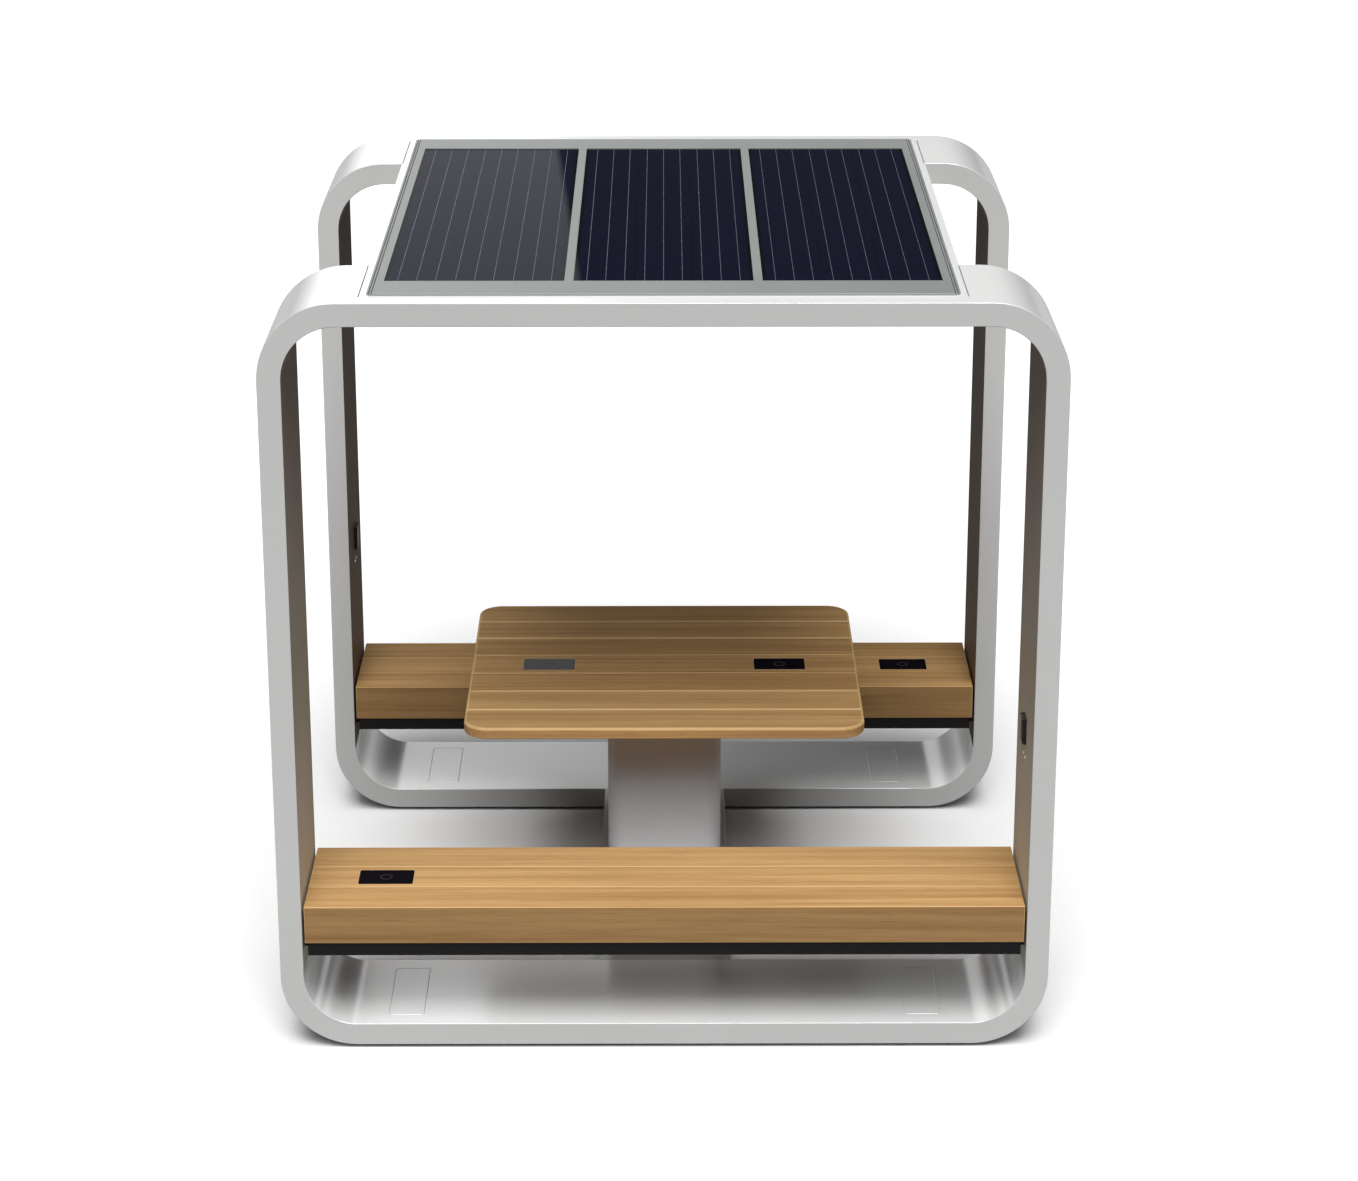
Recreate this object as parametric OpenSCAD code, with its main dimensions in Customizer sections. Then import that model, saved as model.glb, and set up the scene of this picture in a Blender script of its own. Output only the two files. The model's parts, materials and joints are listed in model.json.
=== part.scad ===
// Solar charging table: two rounded hoops carry a solar roof, two benches and a table on a pedestal.
// Millimetres. The origin is on the floor at the centre, +X to the right, +Y to the back, +Z up.

/* [Overall] */
// Overall width, over the two posts of a hoop
overall_w = 2200; // [2000:10:2400]
// Overall depth, from the front hoop's face to the back hoop's face
overall_d = 2200; // [2080:10:2400]
// Height of each hoop, without its foot strips
hoop_h = 2200; // [2050:10:2400]

/* [Hoops] */
// Depth of each hoop, front to back
hoop_d = 430; // [400:5:470]
// Thickness of the hoop section
hoop_t = 66; // [58:1:80]
// Outer radius of a hoop's corners
hoop_r = 216; // [180:1:240]
// Wall of the hoop's sheet metal
hoop_wall = 4; // [3:0.5:5]
// Straight stub on each end of a leg, beyond its bend
leg_stub = 58; // [54:1:70]
// Thickness of the rubber foot strips
foot_t = 10; // [8:1:15]
// Width of a foot strip
foot_w = 40; // [25:1:45]
// Distance from a hoop's front or back face to its foot strip
foot_inset = 20; // [10:1:25]

/* [Base] */
// Width of the floor spine that joins the two hoops
spine_w = 400; // [380:5:440]
// Width of a hatch cover
hatch_w = 100; // [90:1:110]
// Length of a hatch cover
hatch_l = 310; // [280:1:320]
// Corner radius of a hatch cover
hatch_r = 10; // [6:1:20]
// Distance from a leg joint to the middle of the nearest hatch
hatch_setback = 78.5; // [74:0.5:100]
// Distance between the two ground anchors under a hatch
anchor_pitch = 200; // [160:5:230]
// Radius of a ground anchor hole
anchor_r = 7; // [5:0.5:9]

/* [Roof] */
// Width of the white margin beside the panel frame
frame_side_margin = 22; // [15:1:30]
// Depth of the white margin before and behind the panel frame
frame_end_margin = 80; // [60:1:100]
// Height of the panel frame above the roof
frame_h = 6; // [5:0.5:8]
// Width of the panel frame's two side rails
frame_side = 38; // [32:1:45]
// Width of the panel frame's front and back rails
frame_end = 145; // [120:1:160]
// Width of the bars between the panels
mullion_w = 25; // [22:1:30]
// Number of solar panels
panel_count = 3; // [3:1:3]
// Thickness of a solar panel's glass
glass_t = 5; // [4:0.5:5]
// Width of the rails inside the roof
rail_w = 30; // [24:1:36]

/* [Benches] */
// Height of the seats
seat_z = 442; // [430:1:460]
// Height of a bench's wooden front
apron_h = 112; // [100:1:120]
// Thickness of the bench boards
board_t = 28; // [24:1:32]
// Gap between a bench and a post
bench_gap = 7; // [5:1:10]
// Height of the black frame under a bench
pan_h = 40; // [36:1:46]
// Distance that the black frame stands back from the wood
pan_inset = 5; // [3:1:8]
// Thickness of the blocks between a bench frame and the posts
bracket_t = 15; // [12:1:18]
// Distance from a bench's end to the middle of its charging pad
bench_pad_inset = 220; // [200:1:260]

/* [Table] */
// Height of the table top
table_z = 772; // [750:1:790]
// Width of the table top
table_w = 1195; // [1120:5:1250]
// Depth of the table top
table_l = 1100; // [1050:5:1180]
// Thickness of the table boards
table_t = 35; // [32:1:40]
// Corner radius of the table top
table_r = 75; // [50:1:100]
// Distance from the middle of the table to each charging pad
table_pad_x = 358; // [340:1:400]

/* [Pedestal] */
// Width and depth of the pedestal
ped_w = 350; // [345:1:370]
// Radius of the pedestal's upright corners
ped_r = 50; // [40:1:52]
// Wall of the pedestal
ped_wall = 4; // [3:0.5:5]
// Width of the service door's opening
door_w = 210; // [200:1:212]
// Height of the service door's opening
door_h = 450; // [440:1:470]
// Height of the bottom of the door opening above the floor
door_z = 150; // [130:1:160]

/* [Charging] */
// Length of a charging pad's glass
pad_l = 157; // [140:1:170]
// Width of a charging pad's glass
pad_w = 98; // [80:1:110]
// Thickness of a charging pad's glass
pad_t = 5; // [4:0.5:7]
// Height of the middle of the USB outlets above the floor
usb_z = 902; // [850:1:950]
// Width of a USB outlet
usb_w = 60; // [56:1:70]
// Height of a USB outlet
usb_h = 78; // [72:1:90]
// Distance from a USB outlet down to the two status lights
light_drop = 82; // [70:1:100]
// Radius of a status light
light_r = 4; // [3:0.5:6]
// Radius of the leads
lead_r = 3.5; // [3:0.25:4]

/* [Fasteners] */
// Radius of the frame bolts
bolt_r = 4; // [3:0.5:4.5]
// Radius of the wood screws
screw_r = 2.5; // [2:0.25:3]
// Radius of the door hinge pins
pin_r = 2.5; // [2:0.25:3]

/* [Hidden] */

$fn = 64;
// How far a cutting tool reaches past what it cuts
cut = 1;
// How far pieces that are welded together reach into each other
weld = 1;
// Clearance of a part that is fitted and stays put
fit = 0.5;
// Clearance beside a moving part
move_gap = 0.3;
// Radial clearance of a running pin
run = 0.05;

// Places that the hoops give
half_w = overall_w / 2;
half_d = overall_d / 2;
hoop_y = half_d - hoop_d / 2;
bay_y = half_d - hoop_d;
post_x = half_w - hoop_t;
post_mid_x = half_w - hoop_t / 2;
joint_x = half_w - hoop_r - leg_stub;
base_z = foot_t;
floor_z = foot_t + hoop_t;
roof_z = foot_t + hoop_h;
ceiling_z = roof_z - hoop_t;
cavity_z = ceiling_z + hoop_wall;
sheet_z = roof_z - hoop_wall;
base_mid_z = base_z + hoop_t / 2;

// Sleeves that join the legs to the beams
sleeve_wall = 5;
sleeve_reach = 50;
sleeve_root = 24;

// Fasteners
bolt_head_r = 1.75 * bolt_r;
bolt_head_h = 5;
// Radius of a fastener's hexagon socket as a share of its shank's
socket_share = 0.7;
bolt_l = 24;
bolt_clear = 0.1;
hoop_bolt_offsets = [-150, 0, 150];
hoop_bolt_x = joint_x + leg_stub / 2;
spine_bolt_xs = [-170, -60, 60, 170];
screw_head_r = 2 * screw_r;
screw_head_h = 3;
screw_bite = 18;
ceiling_screw_tail = 8;
screw_clear = 0.05;

// Hatches
hatch_x = joint_x - hatch_setback;
hatch_gap = 1.5;
hatch_ledge = 10;
hatch_rib = 5;
cable_hole_x = 125;
cable_hole_r = 25;

// Roof: the seam beside the roof stops short of the hoops' outer faces
seam_w = 3;
seam_end = 70;
frame_x = joint_x - frame_side_margin;
frame_y = half_d - frame_end_margin;
frame_r = 18;
frame_lip = 8;
frame_lip_t = 3;
groove_w = 2.5;
groove_d = 1;
groove_insets = [7, 14];
window_w = (2 * frame_x - 2 * frame_side - (panel_count - 1) * mullion_w) / panel_count;
window_y = frame_y - frame_end;
panel_pitch = window_w + mullion_w;
panel_w = window_w + 2 * frame_lip;
panel_y = window_y + frame_lip;
panel_top = roof_z + frame_h - frame_lip_t;
panel_base = panel_top - glass_t;
seal_t = panel_base - sheet_z;
tray_gap = 1;
panel_edge_x = panel_pitch * (panel_count - 1) / 2 + panel_w / 2;
rail_wall = 3;
rail_proud = 11;
side_rail_x = panel_edge_x + rail_proud - rail_w / 2;
rail_xs = [
    -side_rail_x,
    for (k = [1 : panel_count - 1]) (k - panel_count / 2) * panel_pitch,
    side_rail_x,
];
cross_rail_y = panel_y;
ceiling_screw_inset = 100;
ceiling_screw_ys = [for (k = [-2 : 2]) k * (half_d - ceiling_screw_inset) / 2];
box_w = 110;
box_l = 80;
box_h = 34;
box_r = 6;
box_setback = 73;
box_y = panel_y - box_setback;
jumper_drop = 14;
jumper_z = panel_base - jumper_drop;
roof_lead_drop = 26;
roof_lead_z = panel_base - roof_lead_drop;

// Benches, drawn for the front one: the back one is the front one turned half round
bench_x = post_x - bench_gap;
apron_z = seat_z - apron_h;
bench_board_z = seat_z - board_t;
bench_boards = 3;
board_gap = 0.4;
bench_board_w = (hoop_d - (bench_boards - 1) * board_gap) / bench_boards;
pan_x = post_x - bracket_t;
pan_y = hoop_d / 2 - pan_inset;
pan_z = apron_z - pan_h;
pan_wall = 3;
web_t = 6;
web_flange_w = 40;
web_flange_t = 4;
web_gap = 2;
web_end_inset = 57;
web_xs = [for (k = [-3 : 3]) k * (bench_x - web_end_inset) / 3];
web_screw_x = 12;
bench_lead_z = pan_z + pan_h / 2;
bracket_l = 300;
bracket_margin = 2;
bracket_bolt_y = 100;
lead_hole_gap = 4.5;
lead_hole_r = lead_r + lead_hole_gap;
bench_pad_x = -(bench_x - bench_pad_inset);

// Table
table_board_z = table_z - table_t;
table_boards = 7;
table_board_w = (table_l - (table_boards - 1) * board_gap) / table_boards;
bearer_w = 40;
bearer_t = 10;
bearer_pad_offset = 128;
bearer_end_inset = 77.5;
bearer_end_x = table_w / 2 - bearer_end_inset;
bearer_xs = [-bearer_end_x, bearer_pad_offset - table_pad_x, table_pad_x - bearer_pad_offset, bearer_end_x];
bearer_inset = 50;
table_rail_y = 120;
table_rail_h = 30;
table_rail_x = bearer_end_x + bearer_w / 2;
head_t = 8;
head_hole_r = 70;
bearer_z = table_board_z - bearer_t;
table_rail_z = bearer_z - table_rail_h;
head_z = table_rail_z - head_t;

// Pedestal
ped_h = head_z - floor_z;
ped_base_t = 10;
flange_t = 8;
flange_w = 46;
ped_in = ped_w / 2 - ped_wall;
ped_bolt_inset = 36;
ped_bolt = ped_in - ped_bolt_inset;
door_gap = 2;
stop_w = 12;
stop_t = 3;
stop_rim = 8;
door_seal_t = 3;
door_y = ped_w / 2;
stop_y = door_y - ped_wall - door_seal_t;
hinge_r = 5;
hinge_proud = 1;
hinge_end = 50;
hinge_x = -(door_w / 2 + hinge_r);
hinge_y = door_y + hinge_r + hinge_proud;
hinge_leaf_t = 3;
hinge_reach = 15;
knuckle_h = 15;
door_knuckle_h = 25;
hinge_zs = [door_z + hinge_end, door_z + door_h - hinge_end - 2 * knuckle_h - door_knuckle_h];
pin_proud = 1;
lock_inset = 27;
lock_x = door_w / 2 - lock_inset;
lock_z = door_z + door_h / 2;
lock_r = 9;
lock_head_r = 12;
lock_head_h = 3;
lock_slot_w = 2;
lock_slot_d = 2;
cam_l = 28;
cam_w = 12;
cam_t = 3;
cam_gap = 1;
cam_y = stop_y - stop_t - cam_t - cam_gap;

// What the pedestal holds
battery_w = 176;
battery_l = 220;
battery_h = 210;
battery_y = -40;
battery_r = 10;
module_w = 150;
module_d = 61;
controller_h = 150;
battery_headroom = 34;
controller_z = floor_z + ped_base_t + battery_h + battery_headroom;
converter_h = 140;
module_gap = 20;
converter_z = controller_z + controller_h + module_gap;
fin_count = 9;
fin_d = 18;
fin_t = 4;
module_lead_inset = 31;
module_lead_y = -(ped_in - module_lead_inset);
// Heights at which the leads enter the converter's sides
port_zs = [for (h = [20, 40, 60, 100]) converter_z + h];

// Charging pads
pad_ledge = 6;
pad_corner_r = 6;
pad_fit = 0.5;
tub_wall = 3;
tub_h = 25;
coil_r = 32;
coil_hole_r = 14;
coil_t = 4;

// USB outlets: two ports behind a flap
usb_body_t = 7.2;
usb_flap_t = 3.5;
usb_axis_drop = 5;
usb_axle_r = 1.5;
usb_axle_inset = 1;
usb_barrel_r = 2.5;
usb_ear_rim = 1;
usb_ear_w = 5;
usb_back_w = 40;
usb_back_h = 56;
usb_back_t = 24;
port_w = 13.2;
port_h = 5.8;
port_depth = 15;
port_pitch = 24;
port_drop = 6;
usb_x = post_x - usb_body_t;
usb_axis_x = usb_x - usb_barrel_r - move_gap;
usb_axis_z = usb_z + usb_h / 2 - usb_axis_drop;
light_pitch = 38;
light_proud = 1.5;
light_l = 8;

// Leads run in lanes beside the hatches; each point is x, y, z and the radius of its bend
lane_inset = 28;
lane_pitch = 12;
lane = hoop_d / 2 - lane_inset;
inner_lane = lane - lane_pitch;
bend_inset = 76;
bend_r = hoop_r - bend_inset;
small_r = 25;
tight_r = 12;
lead_step = 9;
usb_lead_gap = 14;
usb_lead_x = post_x + usb_back_t + usb_lead_gap;
table_lead_x = 60;
table_lead_z = table_rail_z + table_rail_h / 3;

// Shapes

module block(lo, hi) {
    translate(lo) cube(hi - lo);
}

// A box tube between two corners, open along the axis whose entry in open is 1
module box_tube(lo, hi, wall, open) {
    closed = [1, 1, 1] - open;
    difference() {
        block(lo, hi);
        block(lo + wall * closed - cut * open, hi - wall * closed + cut * open);
    }
}

module rounded_square(size, r) {
    square([size.x - 2 * r, size.y], center = true);
    square([size.x, size.y - 2 * r], center = true);
    for (sx = [-1, 1], sy = [-1, 1])
        translate([sx * (size.x / 2 - r), sy * (size.y / 2 - r)]) circle(r);
}

module rounded_plate(size, r, z0, z1) {
    translate([0, 0, z0]) linear_extrude(z1 - z0) rounded_square(size, r);
}

// Turns +Z to face the direction dir
module facing(dir) {
    rotate([0, acos(dir.z), atan2(dir.y, dir.x)]) children();
}

module hole(point, dir, r, length) {
    translate(point) facing(dir) translate([0, 0, -cut]) cylinder(r = r, h = length + 2 * cut);
}

module turned() {
    rotate([0, 0, 180]) children();
}

module mirrored_x() {
    mirror([1, 0, 0]) children();
}

// Fasteners, each with its head behind point and its shank along dir

module bolt(point, dir) {
    translate(point) facing(dir) difference() {
        union() {
            translate([0, 0, -bolt_head_h]) cylinder(r = bolt_head_r, h = bolt_head_h);
            cylinder(r = bolt_r, h = bolt_l);
        }
        translate([0, 0, -bolt_head_h - cut])
            cylinder(r = bolt_r * socket_share, h = bolt_head_h / 2 + cut, $fn = 6);
    }
}

module bolt_hole(point, dir) {
    hole(point, dir, bolt_r + bolt_clear, bolt_l);
}

module screw(point, dir, length) {
    translate(point) facing(dir) difference() {
        union() {
            translate([0, 0, -screw_head_h]) cylinder(r = screw_head_r, h = screw_head_h);
            cylinder(r = screw_r, h = length);
        }
        translate([0, 0, -screw_head_h - cut])
            cylinder(r = screw_r * socket_share, h = screw_head_h / 2 + cut, $fn = 6);
    }
}

module screw_hole(point, dir, length) {
    hole(point, dir, screw_r + screw_clear, length);
}

// Where the fasteners go

leg_bolts = [
    for (z = [base_z, ceiling_z], y = hoop_bolt_offsets) [hoop_bolt_x, -hoop_y + y, z]
];
spine_bolts = [for (x = spine_bolt_xs) [x, -bay_y - hoop_wall, base_mid_z]];
bracket_bolts = [for (s = [-1, 1]) [pan_x - pan_wall, -hoop_y + s * bracket_bolt_y, bench_lead_z]];
pedestal_bolts = [for (sx = [-1, 1], sy = [-1, 1]) [sx * ped_bolt, sy * ped_bolt, floor_z + ped_base_t]];
head_bolts = [
    for (sx = [-1, 1], sy = [-1, 1]) [sx * ped_bolt, sy * table_rail_y, head_z - flange_t]
];
ceiling_screw_points = [for (x = rail_xs, y = ceiling_screw_ys) [x, y, ceiling_z]];
bench_board_ys = [
    for (k = [0 : bench_boards - 1]) -half_d + bench_board_w / 2 + k * (bench_board_w + board_gap)
];
bench_screws = [
    for (x = web_xs, y = bench_board_ys) [x + web_screw_x, y, bench_board_z - web_flange_t]
];
table_board_ys = [
    for (k = [0 : table_boards - 1]) -table_l / 2 + table_board_w / 2 + k * (table_board_w + board_gap)
];
table_screws = [for (x = bearer_xs, y = table_board_ys) [x, y, bearer_z]];

// Hoops

// One hoop's outline seen from the front, drawn in by inset on both sides
module hoop_outline(inset) {
    difference() {
        rounded_square([overall_w - 2 * inset, hoop_h - 2 * inset], hoop_r - inset);
        rounded_square(
            [overall_w - 2 * hoop_t + 2 * inset, hoop_h - 2 * hoop_t + 2 * inset],
            hoop_r - hoop_t + inset
        );
    }
}

// The right-hand part of the front hoop, solid, drawn in by inset, reaching left to x0
module leg_solid(inset, x0) {
    depth = hoop_d - 2 * inset;
    translate([0, -hoop_y + depth / 2, base_z + hoop_h / 2])
        rotate([90, 0, 0])
            linear_extrude(depth)
                intersection() {
                    hoop_outline(inset);
                    translate([x0, -hoop_h]) square([half_w - x0 + cut, 2 * hoop_h]);
                }
}

module leg() {
    difference() {
        leg_solid(0, joint_x);
        leg_solid(hoop_wall, joint_x - cut);
        for (p = leg_bolts) bolt_hole(p, [0, 0, 1]);
        for (p = bracket_bolts) bolt_hole(p, [1, 0, 0]);
    }
}

module post_hole(y, z, r) {
    hole([post_x, y, z], [1, 0, 0], r, hoop_wall);
}

// The leg beside a bench's charging pad
module pad_leg() {
    color("gainsboro") difference() {
        leg();
        post_hole(-hoop_y, bench_lead_z, lead_hole_r);
    }
}

// The leg with a USB outlet and two status lights
module usb_leg() {
    color("gainsboro") difference() {
        leg();
        block(
            [post_x - cut, -hoop_y - usb_back_w / 2 - fit, usb_z - usb_back_h / 2 - fit],
            [post_x + hoop_wall + cut, -hoop_y + usb_back_w / 2 + fit, usb_z + usb_back_h / 2 + fit]
        );
        for (s = [-1, 1]) post_hole(-hoop_y + s * light_pitch / 2, usb_z - light_drop, light_r + run);
    }
}

module front_left_leg() { mirrored_x() pad_leg(); }
module front_right_leg() { usb_leg(); }
module back_left_leg() { turned() usb_leg(); }
module back_right_leg() { turned() mirrored_x() pad_leg(); }

// A short box that fills the tube at its root and slides into the next tube
module sleeve(z0) {
    difference() {
        union() {
            block(
                [joint_x - sleeve_root, -half_d + hoop_wall, z0],
                [joint_x - fit, -bay_y - hoop_wall, z0 + hoop_t - 2 * hoop_wall]
            );
            block(
                [joint_x - sleeve_root, -half_d + hoop_wall + fit, z0 + fit],
                [joint_x + sleeve_reach, -bay_y - hoop_wall - fit, z0 + hoop_t - 2 * hoop_wall - fit]
            );
        }
        block(
            [joint_x - sleeve_root - cut, -half_d + hoop_wall + fit + sleeve_wall, z0 + fit + sleeve_wall],
            [
                joint_x + sleeve_reach + cut,
                -bay_y - hoop_wall - fit - sleeve_wall,
                z0 + hoop_t - 2 * hoop_wall - fit - sleeve_wall
            ]
        );
        for (p = leg_bolts) bolt_hole(p, [0, 0, 1]);
    }
}

module at_hatches() {
    for (s = [-1, 1]) translate([s * hatch_x, -hoop_y, 0]) children();
}

// The plate that closes a base beam from below, between the side walls
module closing_plate() {
    block(
        [-joint_x, -half_d + hoop_wall + fit, base_z],
        [joint_x, -bay_y - hoop_wall - fit, base_z + hoop_wall - fit]
    );
}

module base_beam() {
    color("gainsboro") difference() {
        union() {
            difference() {
                box_tube([-joint_x, -half_d, base_z], [joint_x, -bay_y, floor_z], hoop_wall, [1, 0, 0]);
                block(
                    [-joint_x - cut, -half_d + hoop_wall, base_z - cut],
                    [joint_x + cut, -bay_y - hoop_wall, base_z + hoop_wall + cut]
                );
            }
            closing_plate();
            sleeve(base_z + hoop_wall);
            mirrored_x() sleeve(base_z + hoop_wall);
            at_hatches() rounded_plate(
                [hatch_w + 2 * hatch_ledge, hatch_l + 2 * hatch_ledge], hatch_r + hatch_ledge,
                floor_z - 2 * hoop_wall, floor_z - hoop_wall
            );
        }
        at_hatches() rounded_plate(
            [hatch_w + 2 * hatch_gap, hatch_l + 2 * hatch_gap], hatch_r + hatch_gap,
            floor_z - hoop_wall, floor_z + cut
        );
        at_hatches() rounded_plate(
            [hatch_w - 2 * hatch_ledge, hatch_l - 2 * hatch_ledge], hatch_r / 2,
            floor_z - 2 * hoop_wall - cut, floor_z
        );
        at_hatches() for (s = [-1, 1])
            hole([0, s * anchor_pitch / 2, base_z], [0, 0, 1], anchor_r, hoop_wall);
        for (s = [-1, 1])
            hole([s * cable_hole_x, -bay_y - hoop_wall, base_mid_z], [0, 1, 0], cable_hole_r, hoop_wall);
        for (p = spine_bolts) bolt_hole(p, [0, 1, 0]);
    }
}

module front_base_beam() { base_beam(); }
module back_base_beam() { turned() base_beam(); }

module hatch() {
    color("gainsboro") translate([hatch_x, -hoop_y, 0]) {
        rounded_plate([hatch_w, hatch_l], hatch_r, floor_z - hoop_wall, floor_z);
        difference() {
            rounded_plate(
                [hatch_w - 2 * hatch_ledge - 2 * hatch_gap, hatch_l - 2 * hatch_ledge - 2 * hatch_gap],
                hatch_r / 2, floor_z - hoop_wall - hatch_rib, floor_z - hoop_wall
            );
            rounded_plate(
                [
                    hatch_w - 2 * hatch_ledge - 2 * hatch_gap - 2 * hoop_wall,
                    hatch_l - 2 * hatch_ledge - 2 * hatch_gap - 2 * hoop_wall
                ],
                hatch_r / 4, floor_z - hoop_wall - hatch_rib - cut, floor_z - hoop_wall
            );
        }
    }
}

module front_right_hatch() { hatch(); }
module front_left_hatch() { mirrored_x() hatch(); }
module back_left_hatch() { turned() hatch(); }
module back_right_hatch() { turned() mirrored_x() hatch(); }

// The flat tube under the pedestal, with an end plate at each hoop
module floor_spine() {
    color("gainsboro") difference() {
        box_tube([-spine_w / 2, -bay_y, base_z], [spine_w / 2, bay_y, floor_z], hoop_wall, [0, 0, 0]);
        for (p = spine_bolts) {
            bolt_hole(p, [0, 1, 0]);
            turned() bolt_hole(p, [0, 1, 0]);
        }
        for (s = [-1, 1]) {
            hole([s * cable_hole_x, -bay_y, base_mid_z], [0, 1, 0], cable_hole_r, hoop_wall);
            hole([s * cable_hole_x, bay_y - hoop_wall, base_mid_z], [0, 1, 0], cable_hole_r, hoop_wall);
            hole([s * cable_hole_x, 0, floor_z - hoop_wall], [0, 0, 1], cable_hole_r, hoop_wall);
        }
        for (p = pedestal_bolts) bolt_hole(p, [0, 0, -1]);
    }
}

module foot_strips() {
    strip_x = joint_x + leg_stub - foot_w;
    color("#1c1c1c") for (turn = [0, 180]) rotate([0, 0, turn]) {
        block([-strip_x, -half_d + foot_inset, 0], [strip_x, -half_d + foot_inset + foot_w, foot_t]);
        block([-strip_x, -bay_y - foot_inset - foot_w, 0], [strip_x, -bay_y - foot_inset, foot_t]);
    }
}

// Roof

module roof_tray() {
    open_x = panel_edge_x + tray_gap;
    color("whitesmoke") difference() {
        block([-joint_x, -half_d, ceiling_z], [joint_x, half_d, roof_z]);
        block(
            [-joint_x + hoop_wall, -half_d + hoop_wall, ceiling_z - cut],
            [joint_x - hoop_wall, half_d - hoop_wall, sheet_z]
        );
        block([-open_x, -panel_y - tray_gap, sheet_z - cut], [open_x, panel_y + tray_gap, roof_z + cut]);
        for (sx = [0, 1], sy = [0, 1]) mirror([sx, 0, 0]) mirror([0, sy, 0]) {
            block(
                [joint_x - hoop_wall - cut, bay_y, ceiling_z - cut],
                [joint_x + cut, half_d - hoop_wall, sheet_z]
            );
            block([joint_x - seam_w, bay_y, sheet_z - cut], [joint_x + cut, half_d - seam_end, roof_z + cut]);
        }
    }
}

module lead_notch(x, y, z) {
    hole([x - rail_w / 2, y, z], [1, 0, 0], lead_hole_r, rail_w);
}

// Rails along the roof, cross rails under the panels' ends and the sleeves that enter the legs
module roof_chassis() {
    color("silver") difference() {
        union() {
            for (x = rail_xs) box_tube(
                [x - rail_w / 2, -half_d + hoop_wall, cavity_z],
                [x + rail_w / 2, half_d - hoop_wall, sheet_z],
                rail_wall, [0, 1, 0]
            );
            for (s = [-1, 1], k = [0 : panel_count - 1]) box_tube(
                [rail_xs[k] + rail_w / 2 - rail_wall, s * cross_rail_y - rail_w / 2, cavity_z],
                [rail_xs[k + 1] - rail_w / 2 + rail_wall, s * cross_rail_y + rail_w / 2, sheet_z],
                rail_wall, [1, 0, 0]
            );
            for (sx = [0, 1], sy = [0, 1]) mirror([sx, 0, 0]) mirror([0, sy, 0]) box_tube(
                [side_rail_x + rail_w / 2 - rail_wall, -half_d + hoop_wall + fit, cavity_z + fit],
                [joint_x + sleeve_reach, -bay_y - hoop_wall - fit, sheet_z - fit],
                sleeve_wall, [1, 0, 0]
            );
        }
        for (sx = [0, 1], sy = [0, 1]) mirror([sx, 0, 0]) mirror([0, sy, 0])
            for (p = leg_bolts) bolt_hole(p, [0, 0, 1]);
        for (p = ceiling_screw_points) screw_hole(p, [0, 0, 1], hoop_wall + rail_wall);
        lead_notch(-side_rail_x, hoop_y + lane, roof_lead_z);
        for (k = [1 : panel_count - 1]) lead_notch(rail_xs[k], box_y, jumper_z);
        hole([-panel_pitch, cross_rail_y - rail_w / 2, roof_lead_z], [0, 1, 0], lead_hole_r, rail_w);
    }
}

module ceiling_panel() {
    color("whitesmoke") difference() {
        union() {
            block(
                [-joint_x + hoop_wall + fit, -half_d + hoop_wall + fit, ceiling_z],
                [joint_x - hoop_wall - fit, half_d - hoop_wall - fit, cavity_z]
            );
            for (turn = [0, 180]) rotate([0, 0, turn])
                block([-joint_x, -half_d + hoop_wall + fit, ceiling_z], [joint_x, -bay_y - fit, cavity_z]);
        }
        for (p = ceiling_screw_points) screw_hole(p, [0, 0, 1], hoop_wall);
    }
}

module ceiling_screws() {
    color("silver") for (p = ceiling_screw_points)
        screw(p, [0, 0, 1], hoop_wall + rail_wall + ceiling_screw_tail);
}

module at_panels() {
    for (k = [0 : panel_count - 1]) translate([(k - (panel_count - 1) / 2) * panel_pitch, 0, 0]) children();
}

module panel_frame() {
    top = roof_z + frame_h;
    color("darkgray") difference() {
        union() {
            rounded_plate([2 * frame_x, 2 * frame_y], frame_r, roof_z, top);
            for (k = [1 : panel_count - 1]) block(
                [rail_xs[k] - mullion_w / 2 + frame_lip + fit, -panel_y, panel_base],
                [rail_xs[k] + mullion_w / 2 - frame_lip - fit, panel_y, roof_z + weld]
            );
        }
        at_panels() block([-window_w / 2, -window_y, roof_z - cut], [window_w / 2, window_y, top + cut]);
        at_panels() block(
            [-panel_w / 2 - fit, -panel_y - fit, roof_z - cut],
            [panel_w / 2 + fit, panel_y + fit, panel_top]
        );
        for (s = [-1, 1], inset = groove_insets) block(
            [s * (frame_x - inset) - groove_w / 2, -frame_y - cut, top - groove_d],
            [s * (frame_x - inset) + groove_w / 2, frame_y + cut, top + cut]
        );
    }
}

module panel_seal() {
    color("#1c1c1c") difference() {
        block([-panel_edge_x, -panel_y, sheet_z], [panel_edge_x, panel_y, panel_base]);
        for (k = [0 : panel_count - 1]) block(
            [rail_xs[k] + rail_w / 2, -panel_y + rail_w / 2, sheet_z - cut],
            [rail_xs[k + 1] - rail_w / 2, panel_y - rail_w / 2, panel_base + cut]
        );
    }
}

module solar_panel(k) {
    color("#15152a") translate([k * panel_pitch, 0, 0])
        block([-panel_w / 2, -panel_y, panel_base], [panel_w / 2, panel_y, panel_top]);
}

module left_solar_panel() { solar_panel(-1); }
module middle_solar_panel() { solar_panel(0); }
module right_solar_panel() { solar_panel(1); }

module junction_boxes() {
    color("#202020") at_panels() translate([0, box_y, 0])
        rounded_plate([box_w, box_l], box_r, panel_base - box_h, panel_base);
}

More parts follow.
